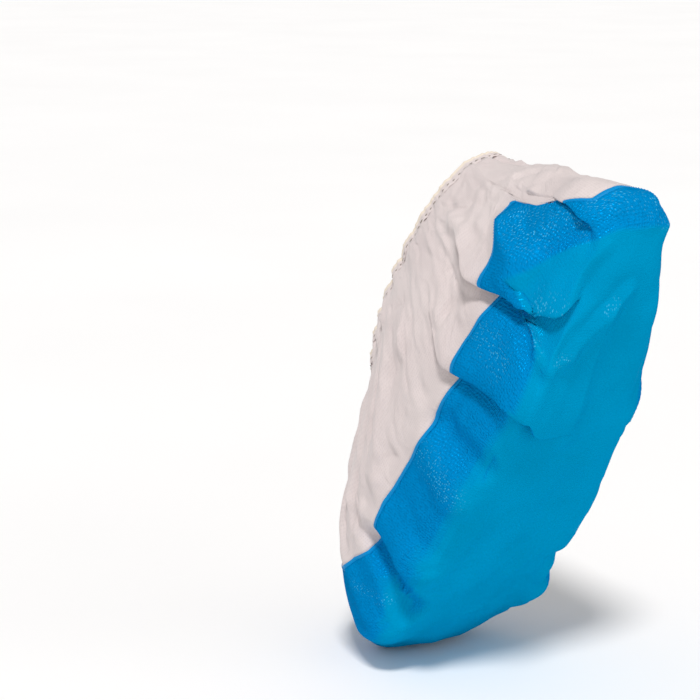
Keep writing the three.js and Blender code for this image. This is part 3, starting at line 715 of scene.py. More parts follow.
def marks_tree(material):
    """A node tree that sets small rounded marks evenly along a line."""
    tree = bpy.data.node_groups.new("marks along a line", "GeometryNodeTree")
    tree.interface.new_socket("Line", in_out="INPUT", socket_type="NodeSocketGeometry")
    for name in ("Pitch", "Length", "Width", "Height", "Unevenness"):
        tree.interface.new_socket(name, in_out="INPUT", socket_type="NodeSocketFloat")
    tree.interface.new_socket("Marks", in_out="OUTPUT", socket_type="NodeSocketGeometry")
    given = add_node(tree, "NodeGroupInput").outputs
    curve = add_node(tree, "GeometryNodeMeshToCurve", Mesh=given["Line"])
    even = add_node(
        tree, "GeometryNodeResampleCurve", {"mode": "LENGTH"}, Curve=curve, Length=given["Pitch"],
    )
    ball = add_node(tree, "GeometryNodeMeshUVSphere", Segments=8, Rings=4, Radius=0.5)
    size = add_node(
        tree, "ShaderNodeCombineXYZ", X=given["Length"], Y=given["Width"], Z=given["Height"],
    )
    mark = add_node(tree, "GeometryNodeTransform", Geometry=ball, Scale=size)
    tangent = add_node(tree, "GeometryNodeInputTangent")
    outward = add_node(
        tree, "GeometryNodeInputNamedAttribute", {"data_type": "FLOAT_VECTOR"}, Name="outward",
    )
    along = add_node(
        tree, "FunctionNodeAlignRotationToVector", {"axis": "X"}, Vector=tangent,
    )
    upright = add_node(
        tree, "FunctionNodeAlignRotationToVector", {"axis": "Z", "pivot_axis": "X"},
        Rotation=along, Vector=outward,
    )
    least, most = (
        add_node(tree, "ShaderNodeMath", {"operation": kind}, _0=1.0, _1=given["Unevenness"])
        for kind in ("SUBTRACT", "ADD")
    )
    scale = add_node(
        tree, "FunctionNodeRandomValue", {"data_type": "FLOAT_VECTOR"}, _0=least, _1=most, Seed=7,
    )
    strewn = add_node(
        tree, "GeometryNodeInstanceOnPoints",
        Points=even, Instance=mark, Rotation=upright, Scale=scale,
    )
    real = add_node(tree, "GeometryNodeRealizeInstances", Geometry=strewn)
    rounded = add_node(tree, "GeometryNodeSetShadeSmooth", Geometry=real)
    dressed = add_node(tree, "GeometryNodeSetMaterial", Geometry=rounded, Material=material)
    add_node(tree, "NodeGroupOutput", Marks=dressed)
    return tree


def marks_along(name, points, outward, sizes, material):
    """A plain mesh of marks set along a closed line of points in mm by the node tree.

    Where the line jumps inside a fold, it stays bare.
    """
    count = len(points)
    line = bpy.data.meshes.new(name + "_line")
    steps = np.linalg.norm(np.roll(points, -1, axis=0) - points, axis=1)
    ring = [(i, (i + 1) % count) for i in range(count) if steps[i] < LONGEST_STEP]
    line.from_pydata((points * MM).tolist(), ring, [])
    attribute = line.attributes.new("outward", "FLOAT_VECTOR", "POINT")
    attribute.data.foreach_set("vector", outward.reshape(-1))
    carrier = new_object(name + "_line", line)
    tree = marks_tree(material)
    modifier = carrier.modifiers.new("marks", "NODES")
    modifier.node_group = tree
    sockets = {item.name: item.identifier for item in tree.interface.items_tree}
    for key, value in sizes.items():
        modifier[sockets[key]] = value
    evaluated = carrier.evaluated_get(bpy.context.evaluated_depsgraph_get())
    mesh = bpy.data.meshes.new_from_object(evaluated)
    mesh.name = name
    carrier.modifiers.remove(modifier)
    bpy.data.objects.remove(carrier)
    bpy.data.meshes.remove(line)
    return mesh


# ---- materials --------------------------------------------------------------


def linear(code):
    """Linear RGBA of an sRGB hex colour."""
    parts = [int(code[i:i + 2], 16) / 255 for i in (1, 3, 5)]
    return tuple(p / 12.92 if p <= 0.04045 else ((p + 0.055) / 1.055) ** 2.4 for p in parts) + (1,)


def connect(tree, node, **links):
    """Set inputs of a node by name or number: to values, or to a socket or node that feeds them."""
    for key, value in links.items():
        socket = node.inputs[int(key[1:]) if key[1:].isdigit() else key.replace("_", " ")]
        if isinstance(value, bpy.types.Node):
            value = next(output for output in value.outputs if output.enabled)
        if isinstance(value, bpy.types.NodeSocket):
            tree.links.new(value, socket)
        else:
            socket.default_value = value
    return node


def add_node(tree, kind, settings=None, **links):
    """Add a node: settings are its properties, links its inputs' values or sources."""
    node = tree.nodes.new(kind)
    for key, value in (settings or {}).items():
        setattr(node, key, value)
    return connect(tree, node, **links)


def new_material(name, **values):
    """A material, its node tree and its Principled shader with some of its values set."""
    material = bpy.data.materials.new(name)
    material.use_nodes = True
    tree = material.node_tree
    return material, tree, connect(tree, tree.nodes["Principled BSDF"], **values)


COLOURS = {"data_type": "RGBA"}  # for a Mix node


def film_material(look):
    """Chlorinated polyethylene film, embossed: glossy, with a grain that sparkles. Its glints are
    partly painted highlights, and its walls and sole carry painted shade and painted light.
    """
    # All its gloss is in the tinted share: a clear one would grey the sole over a white floor.
    material, tree, shader = new_material(
        "embossed polyethylene film", Roughness=0.25, IOR=1.5, Metallic=0.12,
        Specular_IOR_Level=0.0, Specular_Tint=linear("#3FBCEC"),
    )
    uv = add_node(tree, "ShaderNodeUVMap", {"uv_map": "cloth"})
    underfoot_painted_light, painted_glints = (
        add_node(tree, "ShaderNodeAttribute", {"attribute_name": name}).outputs["Fac"]
        for name in ("underfoot_painted_light", "painted_glints")
    )
    clouds = add_node(tree, "ShaderNodeTexNoise", Vector=uv, Scale=22.0, Detail=2.0)
    # Painted light and shade: the film is one blue; the walls get a shaded copy of it and the sole
    # a lit copy.
    tint = add_node(
        tree, "ShaderNodeMix", COLOURS, _0=underfoot_painted_light, _6=look.film_side_painted_shade, _7=look.film_sole_painted_light,
    )
    shade = add_node(
        tree, "ShaderNodeMapRange",
        Value=clouds, From_Min=0.3, From_Max=0.7, To_Min=0.93, To_Max=1.05,
    )
    coloured = add_node(tree, "ShaderNodeVectorMath", {"operation": "SCALE"}, _0=tint, Scale=shade)
    # The emboss runs in rows about 1.5 mm apart; on the real film they are nearer 1 mm.
    warp = add_node(tree, "ShaderNodeTexNoise", Vector=uv, Scale=140.0, Detail=1.0)
    bent = add_node(
        tree, "ShaderNodeVectorMath", {"operation": "MULTIPLY_ADD"},
        _0=warp.outputs["Color"], _1=(0.0022, 0.0012, 0.0), _2=uv,
    )
    rows = add_node(
        tree, "ShaderNodeMapping", {"vector_type": "TEXTURE"},
        Vector=bent, Scale=(look.emboss_pitch * 1.25, look.emboss_pitch * 0.75, 1.0),
    )
    grain = add_node(
        tree, "ShaderNodeTexVoronoi", {"feature": "SMOOTH_F1"},
        Vector=rows, Scale=1.0, Randomness=0.5, Smoothness=0.3,
    )
    # Painted highlights: the emboss's points are painted pale as glints, along the glint lines and
    # here and there on the walls, hardly below.
    point = add_node(tree, "ShaderNodeMapRange", Value=grain, From_Min=0.40, From_Max=0.12)
    strewn = add_node(tree, "ShaderNodeTexNoise", Vector=uv, Scale=700.0, Detail=0.0)
    chosen = add_node(tree, "ShaderNodeMapRange", Value=strewn, From_Min=0.40, From_Max=0.56)
    uneven = add_node(
        tree, "ShaderNodeMapRange",
        Value=clouds, From_Min=0.35, From_Max=0.75, To_Min=0.0, To_Max=0.10,
    )
    walls = add_node(tree, "ShaderNodeMapRange", Value=underfoot_painted_light, To_Min=1.0, To_Max=0.15)
    spread = add_node(tree, "ShaderNodeMath", {"operation": "MULTIPLY"}, _0=uneven, _1=walls)
    amount = add_node(
        tree, "ShaderNodeMath", {"operation": "MULTIPLY_ADD"}, _0=painted_glints, _1=0.9, _2=spread,
    )
    speck = add_node(tree, "ShaderNodeMath", {"operation": "MULTIPLY"}, _0=point, _1=chosen)
    white = add_node(tree, "ShaderNodeMath", {"operation": "MULTIPLY"}, _0=speck, _1=amount)
    painted_glint_colour = add_node(
        tree, "ShaderNodeMix", COLOURS, _0=white, _6=coloured, _7=look.film_painted_glint,
    )
    lumps = add_node(tree, "ShaderNodeTexNoise", Vector=uv, Scale=90.0, Detail=3.0)
    crisp = add_node(tree, "ShaderNodeMapRange", Value=underfoot_painted_light, To_Min=0.8, To_Max=0.22)
    fine = add_node(tree, "ShaderNodeBump", Height=grain, Distance=0.0012, Strength=crisp)
    both = add_node(
        tree, "ShaderNodeBump", Height=lumps, Distance=0.0016, Strength=0.35, Normal=fine,
    )
    connect(tree, shader, Base_Color=painted_glint_colour, Normal=both)
    return material


def cloth_material(look):
    """Spunbond polypropylene: matt, with bond points in rows and loose fibres."""
    material, tree, shader = new_material(
        "spunbond polypropylene", Roughness=0.88, IOR=1.49, Sheen_Weight=0.25, Sheen_Roughness=0.5,
    )
    uv = add_node(tree, "ShaderNodeUVMap", {"uv_map": "cloth"})
    points = add_node(
        tree, "ShaderNodeTexVoronoi", {"feature": "F1"},
        Vector=uv, Scale=1 / look.bond_pitch, Randomness=0.2,
    )
    bonds = add_node(
        tree, "ShaderNodeMapRange",
        Value=points, From_Min=0.1, From_Max=0.45, To_Min=1.0, To_Max=0.0,
    )
    clouds = add_node(tree, "ShaderNodeTexNoise", Vector=uv, Scale=30.0, Detail=3.0)
    mottled = add_node(
        tree, "ShaderNodeMix", COLOURS, _0=clouds, _6=look.cloth, _7=look.cloth_shade,
    )
    dotted = add_node(
        tree, "ShaderNodeMix", {"data_type": "RGBA", "blend_type": "MULTIPLY"},
        _0=bonds, _6=mottled, _7=(0.93, 0.925, 0.93, 1),
    )
    pits = add_node(
        tree, "ShaderNodeBump", {"invert": True}, Height=bonds, Distance=0.0002, Strength=0.5,
    )
    # Handled cloth is crinkled all over, in creases a few millimetres long.
    crinkles = add_node(
        tree, "ShaderNodeTexNoise", {"noise_type": "RIDGED_MULTIFRACTAL"},
        Vector=uv, Scale=110.0, Detail=3.0, Roughness=0.55, Distortion=0.8,
    )
    crushed = add_node(
        tree, "ShaderNodeBump", Height=crinkles, Distance=0.0011, Strength=0.6, Normal=pits,
    )
    fibres = add_node(
        tree, "ShaderNodeTexNoise", Vector=uv, Scale=260.0, Detail=4.0, Roughness=0.65,
    )
    fuzz = add_node(
        tree, "ShaderNodeBump", Height=fibres, Distance=0.0003, Strength=0.5, Normal=crushed,
    )
    connect(tree, shader, Base_Color=dotted, Normal=fuzz)
    return material


def weld_material(look):
    """Film pressed into cloth: blue below, paler above where the film is melted thin."""
    material, tree, shader = new_material(
        "pressed film weld", Roughness=0.42, IOR=1.5, Specular_IOR_Level=0.08,
    )
    up = add_node(tree, "ShaderNodeAttribute", {"attribute_name": "up"}).outputs["Fac"]
    ramp = add_node(
        tree, "ShaderNodeMapRange", {"interpolation_type": "SMOOTHSTEP"},
        Value=up, From_Min=0.9, From_Max=1.0,
    )
    colour = add_node(tree, "ShaderNodeMix", COLOURS, _0=ramp, _6=look.film_side_painted_shade, _7=look.weld)
    uv = add_node(tree, "ShaderNodeUVMap", {"uv_map": "cloth"})
    rough = add_node(tree, "ShaderNodeTexNoise", Vector=uv, Scale=600.0, Detail=2.0)
    bump = add_node(tree, "ShaderNodeBump", Height=rough, Distance=0.0003, Strength=0.4)
    connect(tree, shader, Base_Color=colour, Normal=bump)
    return material


def hem_material(look):
    """The cloth turned over the elastic, with crushed fibres; its rim is coloured paler and
    creamier.
    """
    material, tree, shader = new_material(
        "gathered cloth hem", Roughness=0.9, IOR=1.49, Sheen_Weight=0.2,
    )
    coords = add_node(tree, "ShaderNodeTexCoord").outputs["Object"]
    clouds = add_node(tree, "ShaderNodeTexNoise", Vector=coords, Scale=160.0, Detail=4.0)
    rim = add_node(tree, "ShaderNodeAttribute", {"attribute_name": "rim"}).outputs["Fac"]
    band = add_node(tree, "ShaderNodeMix", COLOURS, _0=clouds, _6=look.cloth, _7=look.cloth_shade)
    colour = add_node(tree, "ShaderNodeMix", COLOURS, _0=rim, _6=band, _7=look.hem)
    fibres = add_node(tree, "ShaderNodeTexNoise", Vector=coords, Scale=900.0, Detail=3.0)
    bump = add_node(tree, "ShaderNodeBump", Height=fibres, Distance=0.0004, Strength=0.5)
    connect(tree, shader, Base_Color=colour, Normal=bump)
    return material


def clouded_material(name, colours, scale, detail, **values):
    """A material whose colour wanders between two."""
    material, tree, shader = new_material(name, **values)
    coords = add_node(tree, "ShaderNodeTexCoord").outputs["Object"]
    clouds = add_node(tree, "ShaderNodeTexNoise", Vector=coords, Scale=scale, Detail=detail)
    colour = add_node(tree, "ShaderNodeMix", COLOURS, _0=clouds, _6=colours[0], _7=colours[1])
    connect(tree, shader, Base_Color=colour)
    return material


def mark_material(look):
    """Film crushed hard in the weld's teeth: a little paler and smoother than around it."""
    return clouded_material(
        "crushed film marks", (look.film_side_painted_shade, look.film_sole_painted_light), 120.0, 2.0,
        Roughness=0.35, IOR=1.5, Specular_IOR_Level=0.1,
    )


def thread_and_gap_shade_material(look):
    """Spun polyester thread: soft sheen, with a twist too fine to see. Its dark colour is partly
    painted shade of the gaps along the hem.
    """
    return clouded_material(
        "polyester thread", (look.thread, linear("#6E6457")), 1400.0, 1.0,
        Roughness=0.6, IOR=1.55,
    )


def floor_material(look):
    """Matt white board, as plain studio floors are."""
    return clouded_material(
        "matt white board", (look.floor, linear("#F8F8F8")), 3.0, 2.0, Roughness=0.9,
    )


# ---- what a user may change -------------------------------------------------

LEAST_PITCH = 0.0001


def length_property(name, description, default, least=0.0):
    return FloatProperty(
        name=name, description=description, default=default, min=least,
        unit="LENGTH", precision=5,
    )


def strength_property(name, description, default):
    return FloatProperty(name=name, description=description, default=default, min=0)


def angle_property(name, description, degrees):
    return FloatProperty(
        name=name, description=description, default=math.radians(degrees), subtype="ANGLE",
    )


def colour_property(name, description, code):
    return FloatVectorProperty(
        name=name, description=description, default=linear(code),
        size=4, min=0, max=1, subtype="COLOR",
    )


class CoverSizes(bpy.types.PropertyGroup):
    """Sizes of the sheets, welds, gathers and stitches"""

    film_thickness: length_property("Film", "Thickness of the film, drawn stout", 0.0004)
    cloth_thickness: length_property("Cloth", "Thickness of the nonwoven cloth", 0.0004)
    column_spacing: length_property("Columns", "Space between the skin's columns", 0.0017)
    gathers: IntProperty(name="Gathers", description="Main folds under the hem", default=24)
    gather_height: length_property("Gather height", "How far the main folds rise", 0.0026)
    crumple: FloatProperty(
        name="Crumple", description="Depth of the small crumples", default=1.0, min=0, max=3,
    )
    weld_width: length_property("Weld width", "Width of the film's welded edge", 0.0020)
    weld_pitch: length_property("Weld pitch", "Space between the weld's pressed marks", 0.0016)
    stitch_pitch: length_property("Stitch pitch", "Space between the hem's stitches", 0.0042)


class CoverColours(bpy.types.PropertyGroup):
    """Colours and pattern sizes of the finishes"""

    # Painted light and shade: the film is one blue; the walls get a shaded copy and the sole a lit
    # copy.
    film_side_painted_shade: colour_property("Film, side", "Film on the walls", "#0086C8")
    film_sole_painted_light: colour_property("Film, sole", "Film under the foot", "#0090C0")
    # Painted highlight: the pale colour given to the emboss's glinting points.
    film_painted_glint: colour_property("Film, points", "Film whitened at its emboss", "#58C8F2")
    cloth: colour_property("Cloth", "Nonwoven upper", "#DBD1CF")
    cloth_shade: colour_property("Cloth, thick places", "Where the fibres lie thicker", "#CFC2C1")
    weld: colour_property("Weld", "Film melted thin over the cloth", "#8FBFE4")
    hem: colour_property("Hem", "Cloth turned over the elastic", "#E4D8C8")
    # Darker than the thread itself: partly painted shade of the gaps along the hem.
    thread: colour_property("Thread", "Hem stitches", "#8F8578")
    floor: colour_property("Floor", "Studio floor", "#FEFEFE")
    emboss_pitch: length_property("Emboss pitch", "Grain of the film's emboss", 0.0013, LEAST_PITCH)
    bond_pitch: length_property("Bond pitch", "Space between bond points", 0.0014, LEAST_PITCH)


class StageSettings(bpy.types.PropertyGroup):
    """Camera and lights"""

    azimuth: angle_property("Azimuth", "Camera's way round the cover", 54.5)
    elevation: angle_property("Elevation", "Camera's height over the horizon", 12.7)
    distance: length_property("Distance", "From the camera to its aim", 1.1258)
    field: angle_property("Field of view", "Angle of view", 20.4)
    key: strength_property("Key light", "Strength of the main light", 2.2)
    fill: strength_property("Fill light", "Strength of the light at the right", 0.8)
    side: strength_property("Side light", "Strength of the light at the left", 0.12)
    world: strength_property("Surroundings", "Brightness of the room", 0.42)


# ---- operators --------------------------------------------------------------

# Rows of the film, as shares of the way: over the sole, up to the heel's crease, to the weld.
SOLE_SHARES = np.concatenate([[0.06], np.linspace(0.12, 0.96, 28), [0.985, 1]])
EDGE_SHARES = [0.05, 0.1, 0.17, 0.25, 0.33, 0.42, 0.51, 0.6, 0.69, 0.78, 0.86, 0.92, 0.97, 1]
WALL_SHARES = np.concatenate([[0.018, 0.045], np.linspace(0.08, 1, 24)])
CLOTH_SHARES = np.linspace(0, 1, 46)
WELD_SHARES = [0, 0.1, 0.3, 0.5, 0.7, 0.9, 1]
WELD_CROWN = [0, 0.12, 0.2, 0.22, 0.2, 0.12, 0]  # height over the skin at each share

# Crumples: the first two numbers of an area are round the cover or along the sole, in mm.
WALL_CRUMPLES = {
    "area": (16, 784, -10, 55), "count": 90, "seed": 21,
    "length": (14, 40), "width": (4, 9), "height": (0.25, 0.9),
}
SOLE_CRUMPLES = {
    "area": (20, 350, -50, 50), "count": 60, "seed": 22,
    "length": (16, 50), "width": (5, 11), "height": (0.25, 0.8),
}
CLOTH_CRUMPLES = {
    "area": (0, 800, 45, 112), "count": 330, "seed": 31,
    "length": (8, 30), "width": (2.4, 6), "height": (0.4, 1.4),
}
FRONT_PLEAT = 0.34  # its round
MARK_HEIGHT = 0.4  # of the weld's marks over the skin, in mm
# Film that faces this way gets the painted light of the sole; film turned from it gets the painted
# shade of the walls.
SOLE_LIT_FACING = np.array([0.80, 0.25, -0.55])  # the way the sole of the raised heel faces


def film_lift(sizes, around, girth, weld):
    """Small waves and crumples of the film, calmer on the heel's fold and along the weld."""
    spots = FORM.soft(around, girth)
    lift = 1.2 * soft_noise(spots, size=38.0, seed=1.0)
    lift = lift + 0.4 * soft_noise(spots, size=13.0, seed=2.0)
    on_wall = smooth((girth + 20) / 20)
    lift = lift + on_wall * creases(around * LEVEL_LENGTH, girth, **WALL_CRUMPLES)
    station, side = FORM.sole_spot(around, girth)
    lift = lift + (1 - on_wall) * creases(station, side, **SOLE_CRUMPLES)
    calm = 1 - 0.6 * smooth(FORM.cut_reach(around) / 12)
    return lift * sizes.crumple * calm * smooth((weld - girth) / 7)


def underfoot_painted_light(mesh, around, girth):
    """How far the film is under the foot: 0 on the walls, 1 on the sole and the heel's fold. It
    chooses between the painted shade of the walls and the painted light of the sole, by which way
    the film faces, and sets how strong the emboss is.
    """
    normals = np.empty(len(mesh.vertices) * 3)
    mesh.vertices.foreach_get("normal", normals)
    down = np.clip(normals.reshape(-1, 3) @ SOLE_LIT_FACING, -1, 1)
    turned = smooth((down - 0.15) / 0.5)
    placed = placed_round(around, girth)
    # From the front pleat back, the painted light changes at the heel's crease, not where the film
    # turns.
    front = smooth((placed - FRONT_PLEAT) / 0.01)
    crease = np.maximum(FORM.cut_girth(placed), 3 * front).reshape(-1)
    below = smooth((crease - girth.reshape(-1)) / 2.5 + 0.5)
    on_heel = smooth(crease - 2)
    return turned * (1 - on_heel) + on_heel * below * (0.8 + 0.2 * turned)


class SHOECOVER_OT_sole_film(bpy.types.Operator):
    """Make the film that covers the sole and the lower walls"""

    bl_idname = "shoecover.sole_film"
    bl_label = "Sole film"

    def execute(self, context):
        sizes = context.scene.cover_sizes
        columns = make_columns(sizes.column_spacing / MM)
        edge = 0 * columns
        weld = weld_sides(sizes, columns)[0]
        lines = [edge - SOLE_REACH, edge, cut_line(columns), weld]
        around, girth = band(columns, lines, [SOLE_SHARES, EDGE_SHARES, WALL_SHARES])
        points, pattern = skin(around, girth, film_lift(sizes, around, girth, weld))
        flat = np.stack(FORM.sole_spot(around, girth), -1)[: len(SOLE_SHARES)]
        station = flat[0, :, 0]
        heel = int(np.argmax(station))
        near = list(range(0, heel + 1))
        far = [0] + list(range(len(columns) - 1, heel - 1, -1))
        faces = zip_middle(station[near], station[far], near, far)
        mesh = sheet_mesh("film_sheet", points, pattern, faces, flat)
        set_attribute(mesh, "underfoot_painted_light", underfoot_painted_light(mesh, around, girth))
        set_attribute(mesh, "painted_glints", painted_glint_share(around, girth))
        film = add_piece(mesh, "sole_film", film_material(context.scene.cover_colours))
        thicken(film, sizes.film_thickness)
        return {"FINISHED"}


class SHOECOVER_OT_upper_cloth(bpy.types.Operator):
    """Make the nonwoven upper between the weld and the hem"""

    bl_idname = "shoecover.upper_cloth"
    bl_label = "Upper cloth"

    def execute(self, context):
        sizes = context.scene.cover_sizes
        columns = make_columns(sizes.column_spacing / MM)
        lines = [weld_sides(sizes, columns)[1], 0 * columns + RIM_GIRTH - HEM_WIDTH + 1]
        around, girth = band(columns, lines, [CLOTH_SHARES])
        low_drum = cylinder(around, girth, height_share=0.35)
        lift = 1.3 * soft_noise(low_drum, size=15.0, seed=5.0)
        lift = lift + 0.6 * soft_noise(cylinder(around, girth), size=7.0, seed=6.0)
        lift = lift + creases(around * LEVEL_LENGTH, girth, **CLOTH_CRUMPLES)
        # The weld holds the cloth still, also beside the places where it runs steeply.
        beside = [seam_girth(columns + step) for step in np.linspace(-0.008, 0.008, 5)]
        free = smooth((girth - np.max(beside, axis=0) - 2) / 10)
        lift = lift * sizes.crumple * free + Gathers(sizes).lift(around, girth)
        mesh = sheet_mesh("cloth_sheet", *skin(around, girth, lift))
        cloth = add_piece(mesh, "upper_cloth", cloth_material(context.scene.cover_colours))
        thicken(cloth, sizes.cloth_thickness)
        return {"FINISHED"}


class SHOECOVER_OT_side_seam(bpy.types.Operator):
    """Make the welded edge between film and cloth, with its pressed marks"""

    bl_idname = "shoecover.side_seam"
    bl_label = "Side seam"

    def execute(self, context):
        sizes = context.scene.cover_sizes
        colours = context.scene.cover_colours
        columns = make_columns(sizes.column_spacing / MM)
        around, girth = band(columns, weld_sides(sizes, columns), [WELD_SHARES])
        crown, up = (
            np.broadcast_to(np.array(values, float)[:, None], girth.shape)
            for values in (WELD_CROWN, WELD_SHARES)
        )
        mesh = sheet_mesh("welded_edge", *skin(around, girth, crown))
        set_attribute(mesh, "up", up)
        thicken(add_piece(mesh, "side_seam", weld_material(colours)), sizes.film_thickness)
        centre = seam_girth(columns)[None]
        around = follow_pleats(columns[None], centre)
        line, inner = (
            skin(around, centre, np.full(centre.shape, height))[0][0]
            for height in (MARK_HEIGHT, MARK_HEIGHT - 1)
        )
        marks = marks_along("weld_marks", line, unit(line - inner), {
            "Pitch": sizes.weld_pitch, "Length": 0.4 * sizes.weld_pitch,
            "Width": 0.7 * sizes.weld_width, "Height": 0.0003, "Unevenness": 0.15,
        }, mark_material(colours))
        add_piece(marks, "side_seam")
        return {"FINISHED"}


HEM_PROFILE = [  # along the girth from the hem's middle, outward; round the folded cloth
    (-3.2, 0.1), (-2.9, 0.32), (-1.8, 0.38), (0.2, 0.36), (1.3, 0.34), (1.7, 0.5), (2.3, 0.72),
    (2.8, 0.62), (3.1, 0.25), (3.1, -0.25), (2.6, -0.55), (1.2, -0.4), (-0.3, -0.36),
    (-1.8, -0.38), (-2.9, -0.32), (-3.2, -0.1),
]
HEM_SPACING = 0.8  # of the hem's columns, as a share of the sheets'
FRILL_SEED = 41
FRILL_COUNTS = np.arange(50, 150)  # waves of the hem's own frill round the opening
FRILL_HEIGHT = 0.07
RIM_START, RIM_TURN = 0.8, 0.8  # where along the hem's profile its rim begins
STITCH_ROW = -1.6  # from the hem's middle
STITCH_HEIGHT = 0.42  # of the stitches over the hem's middle layer


def hem_lift(sizes, columns):
    """How far the hem's middle rides out and how full it is: gathers and its own frill."""
    draw = np.random.default_rng(FRILL_SEED)
    turns = draw.uniform(0, 2 * math.pi, len(FRILL_COUNTS))
    heights = draw.uniform(0.3, 1, len(FRILL_COUNTS)) * FRILL_HEIGHT
    frill = sum(
        height * np.cos(2 * math.pi * count * columns + turn)
        for count, height, turn in zip(FRILL_COUNTS, heights, turns)
    )
    uneven = 0.35 + 0.65 * smooth(0.5 + 0.9 * np.cos(2 * math.pi * columns))
    ride = Gathers(sizes).lift(columns, np.full_like(columns, RIM_GIRTH)) + 0.6 * uneven * frill
    return ride, 1 + 0.18 * np.sin(3 * frill)


class SHOECOVER_OT_ankle_hem(bpy.types.Operator):
    """Make the gathered hem that holds the elastic round the ankle opening"""

    bl_idname = "shoecover.ankle_hem"
    bl_label = "Ankle hem"

    def execute(self, context):
        sizes = context.scene.cover_sizes
        colours = context.scene.cover_colours
        columns = make_columns(sizes.column_spacing / MM * HEM_SPACING)
        middle = RIM_GIRTH - HEM_WIDTH / 2
        profile = np.array(HEM_PROFILE + HEM_PROFILE[:1])
        up, out = profile[:, :1], profile[:, 1:]
        girth = middle + np.broadcast_to(up, (len(profile), len(columns)))
        around = np.broadcast_to(columns, girth.shape)
        ride, fullness = hem_lift(sizes, columns)
        points, pattern = skin(around, girth, ride + out * fullness)
        steps = np.diff(profile, axis=0, prepend=profile[:1])
        pattern[..., 1] = np.cumsum(np.hypot(*steps.T))[:, None]
        mesh = sheet_mesh("hem_casing", points, pattern)
        rim = smooth((up - RIM_START) / RIM_TURN)
        set_attribute(mesh, "rim", np.broadcast_to(rim, girth.shape))
        casing = add_piece(mesh, "ankle_elastic", hem_material(colours))
        row = np.full_like(columns, middle + STITCH_ROW)
        line = skin(columns, row, ride + STITCH_HEIGHT * fullness)[0]
        outward = line - skin(columns, row, ride - 0.6)[0]
        mesh = marks_along("hem_stitches", line, unit(outward), {
            "Pitch": sizes.stitch_pitch, "Length": 0.6 * sizes.stitch_pitch,
            "Width": 0.0007, "Height": 0.0004, "Unevenness": 0.3,
        }, thread_and_gap_shade_material(colours))
        stitches = add_piece(mesh, "ankle_elastic")
        return {"FINISHED"}


FIN_STEPS, FIN_ROWS = 40, 5  # of its grid, up the toe and outward
FIN_START = 3  # girth from which the toe weld stands out
FIN_REACH, FIN_LEAST = 3.0, 0.4  # how far it stands out, and at its ends
FIN_THICKNESS = 0.0006  # in metres, of two layers pressed together


class SHOECOVER_OT_toe_weld(bpy.types.Operator):
    """Make the pressed edge that stands out of the film along the toe"""

    bl_idname = "shoecover.toe_weld"
    bl_label = "Toe weld"

    def execute(self, context):
        girth = np.linspace(FIN_START, seam_girth(np.array(0.0)) - 2, FIN_STEPS)
        foot = skin(0 * girth, girth, 0 * girth)[0]
        ahead = unit(np.gradient(foot, axis=0))
        outward = unit(np.stack([-ahead[:, 2], 0 * girth, ahead[:, 0]], -1))
        ends = smooth((girth - FIN_START) / 5) * smooth((girth[-1] - girth) / 4)
        reach = FIN_REACH * ends + FIN_LEAST
        sway = 0.5 * np.sin(girth * 0.45) + 0.25 * np.sin(girth * 1.1)
        shares = np.linspace(0, 1, FIN_ROWS)[:, None]
        points = foot + outward * (shares * reach)[..., None]
        points[..., 1] += sway * shares
        index = np.arange(FIN_STEPS * FIN_ROWS).reshape(FIN_ROWS, FIN_STEPS)
        quads = np.stack([index[:-1, :-1], index[:-1, 1:], index[1:, 1:], index[1:, :-1]], -1)
        mesh, vertex = new_mesh("toe_fin", points, quads.reshape(-1, 4).tolist())
        pattern = np.stack([np.broadcast_to(girth, (FIN_ROWS, FIN_STEPS)), shares * reach], -1)
        set_pattern(mesh, pattern.reshape(-1, 2)[vertex])
        film = bpy.data.objects["film_sheet"]
        fin = add_piece(mesh, "toe_weld", film.data.materials[0])
        thicken(fin, FIN_THICKNESS)
        return {"FINISHED"}


FLOOR_REACH, FLOOR_GAP = 20.0, 0.0002  # in metres, round and below the cover
BALL_STATION = 70.0  # of the ball of the foot, which the camera aims beside
AIM_LEFT, AIM_UP = 0.06396, 0.1577  # in metres, as the camera sees it
CLIP_START, CLIP_END = 0.05, 60


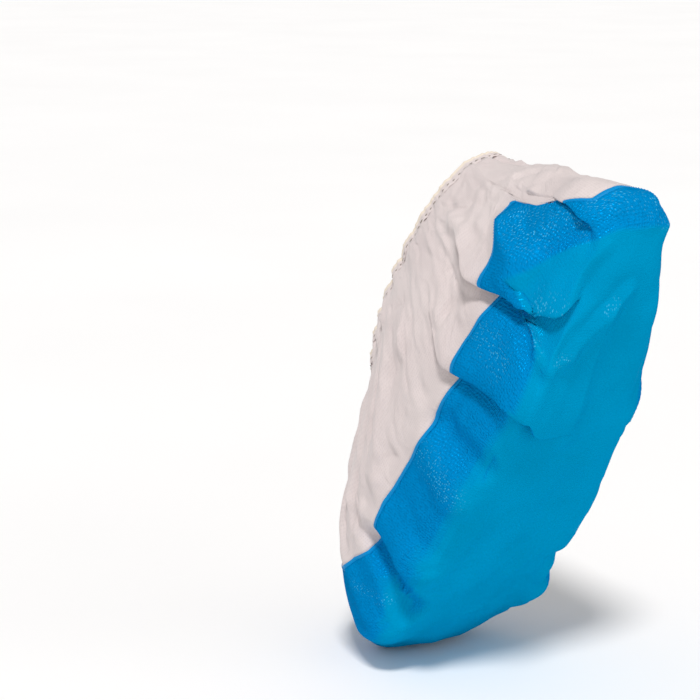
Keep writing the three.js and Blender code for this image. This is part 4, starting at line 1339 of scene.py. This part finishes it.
class SHOECOVER_OT_stage(bpy.types.Operator):
    """Make the floor, the lights and the camera"""

    bl_idname = "shoecover.stage"
    bl_label = "Stage"

    def execute(self, context):
        stage = context.scene.cover_stage
        lowest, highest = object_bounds()
        mesh = bpy.data.meshes.new("floor")
        corners = [
            (x * FLOOR_REACH, y * FLOOR_REACH, lowest.z - FLOOR_GAP)
            for x, y in ((-1, -1), (1, -1), (1, 1), (-1, 1))
        ]
        mesh.from_pydata(corners, [], [(0, 1, 2, 3)])
        mesh.materials.append(floor_material(context.scene.cover_colours))
        new_object("floor", mesh)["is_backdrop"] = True
        world = bpy.data.worlds.new("plain room")
        world.use_nodes = True
        room = world.node_tree.nodes["Background"]
        connect(world.node_tree, room, Color=(1, 1, 1, 1), Strength=stage.world)
        context.scene.world = world
        az, el = stage.azimuth, stage.elevation
        right = Vector((math.cos(az), math.sin(az), 0))
        back = Vector((math.sin(az) * math.cos(el), -math.cos(az) * math.cos(el), math.sin(el)))
        up = back.cross(right)
        ball = Vector(FORM.place(np.array(BALL_STATION), np.array(0.0), 0.0).tolist()) * MM
        aim = ball - right * AIM_LEFT + up * AIM_UP
        camera = bpy.data.cameras.new("camera")
        camera.lens_unit = "FOV"
        camera.angle = stage.field
        camera.clip_start, camera.clip_end = CLIP_START, CLIP_END
        viewer = new_object("camera", camera)
        turn = Matrix((right, up, back)).transposed().to_4x4()
        viewer.matrix_world = Matrix.Translation(aim + back * stage.distance) @ turn
        context.scene.camera = viewer
        lights = [
            # name, strength, angle, direction, colour
            ("key", stage.key, 10, Vector((0.42, -0.34, 0.84)), (1, 0.98, 0.97)),
            ("fill", stage.fill, 60, right * 0.9 + back * 0.5, (1, 0.97, 0.9)),
            ("side", stage.side, 60, back - right * 0.6, (0.93, 0.97, 1)),
        ]
        for name, strength, angle, direction, colour in lights:
            data = bpy.data.lights.new(name, "SUN")
            data.angle = math.radians(angle)
            data.energy = strength
            data.color = colour
            lamp = new_object(name, data)
            lamp.location = (lowest + highest) / 2 + direction
            lamp.rotation_mode = "QUATERNION"
            lamp.rotation_quaternion = direction.to_track_quat("Z", "Y")
        context.scene.view_settings.view_transform = "Standard"
        return {"FINISHED"}


class SHOECOVER_PT_panel(bpy.types.Panel):
    """The cover's steps and settings"""

    bl_idname = "SHOECOVER_PT_panel"
    bl_label = "Shoe cover"
    bl_space_type = "VIEW_3D"
    bl_region_type = "UI"
    bl_category = "Shoe cover"

    def draw(self, context):
        for step in STEPS:
            self.layout.operator(step.bl_idname)
        scene = context.scene
        for group in (scene.cover_sizes, scene.cover_colours, scene.cover_stage):
            box = self.layout.box()
            for key in group.__annotations__:
                box.prop(group, key)


STEPS = (
    SHOECOVER_OT_sole_film,
    SHOECOVER_OT_side_seam,
    SHOECOVER_OT_upper_cloth,
    SHOECOVER_OT_ankle_hem,
    SHOECOVER_OT_toe_weld,
    SHOECOVER_OT_stage,
)
CLASSES = (CoverSizes, CoverColours, StageSettings, *STEPS, SHOECOVER_PT_panel)


def register():
    for cls in CLASSES:
        bpy.utils.register_class(cls)
    bpy.types.Scene.cover_sizes = PointerProperty(type=CoverSizes)
    bpy.types.Scene.cover_colours = PointerProperty(type=CoverColours)
    bpy.types.Scene.cover_stage = PointerProperty(type=StageSettings)


def unregister():
    del bpy.types.Scene.cover_stage
    del bpy.types.Scene.cover_colours
    del bpy.types.Scene.cover_sizes
    for cls in reversed(CLASSES):
        bpy.utils.unregister_class(cls)


def main():
    register()
    bpy.ops.shoecover.sole_film()
    bpy.ops.shoecover.side_seam()
    bpy.ops.shoecover.upper_cloth()
    bpy.ops.shoecover.ankle_hem()
    bpy.ops.shoecover.toe_weld()
    bpy.ops.shoecover.stage()


if __name__ == "__main__":
    main()
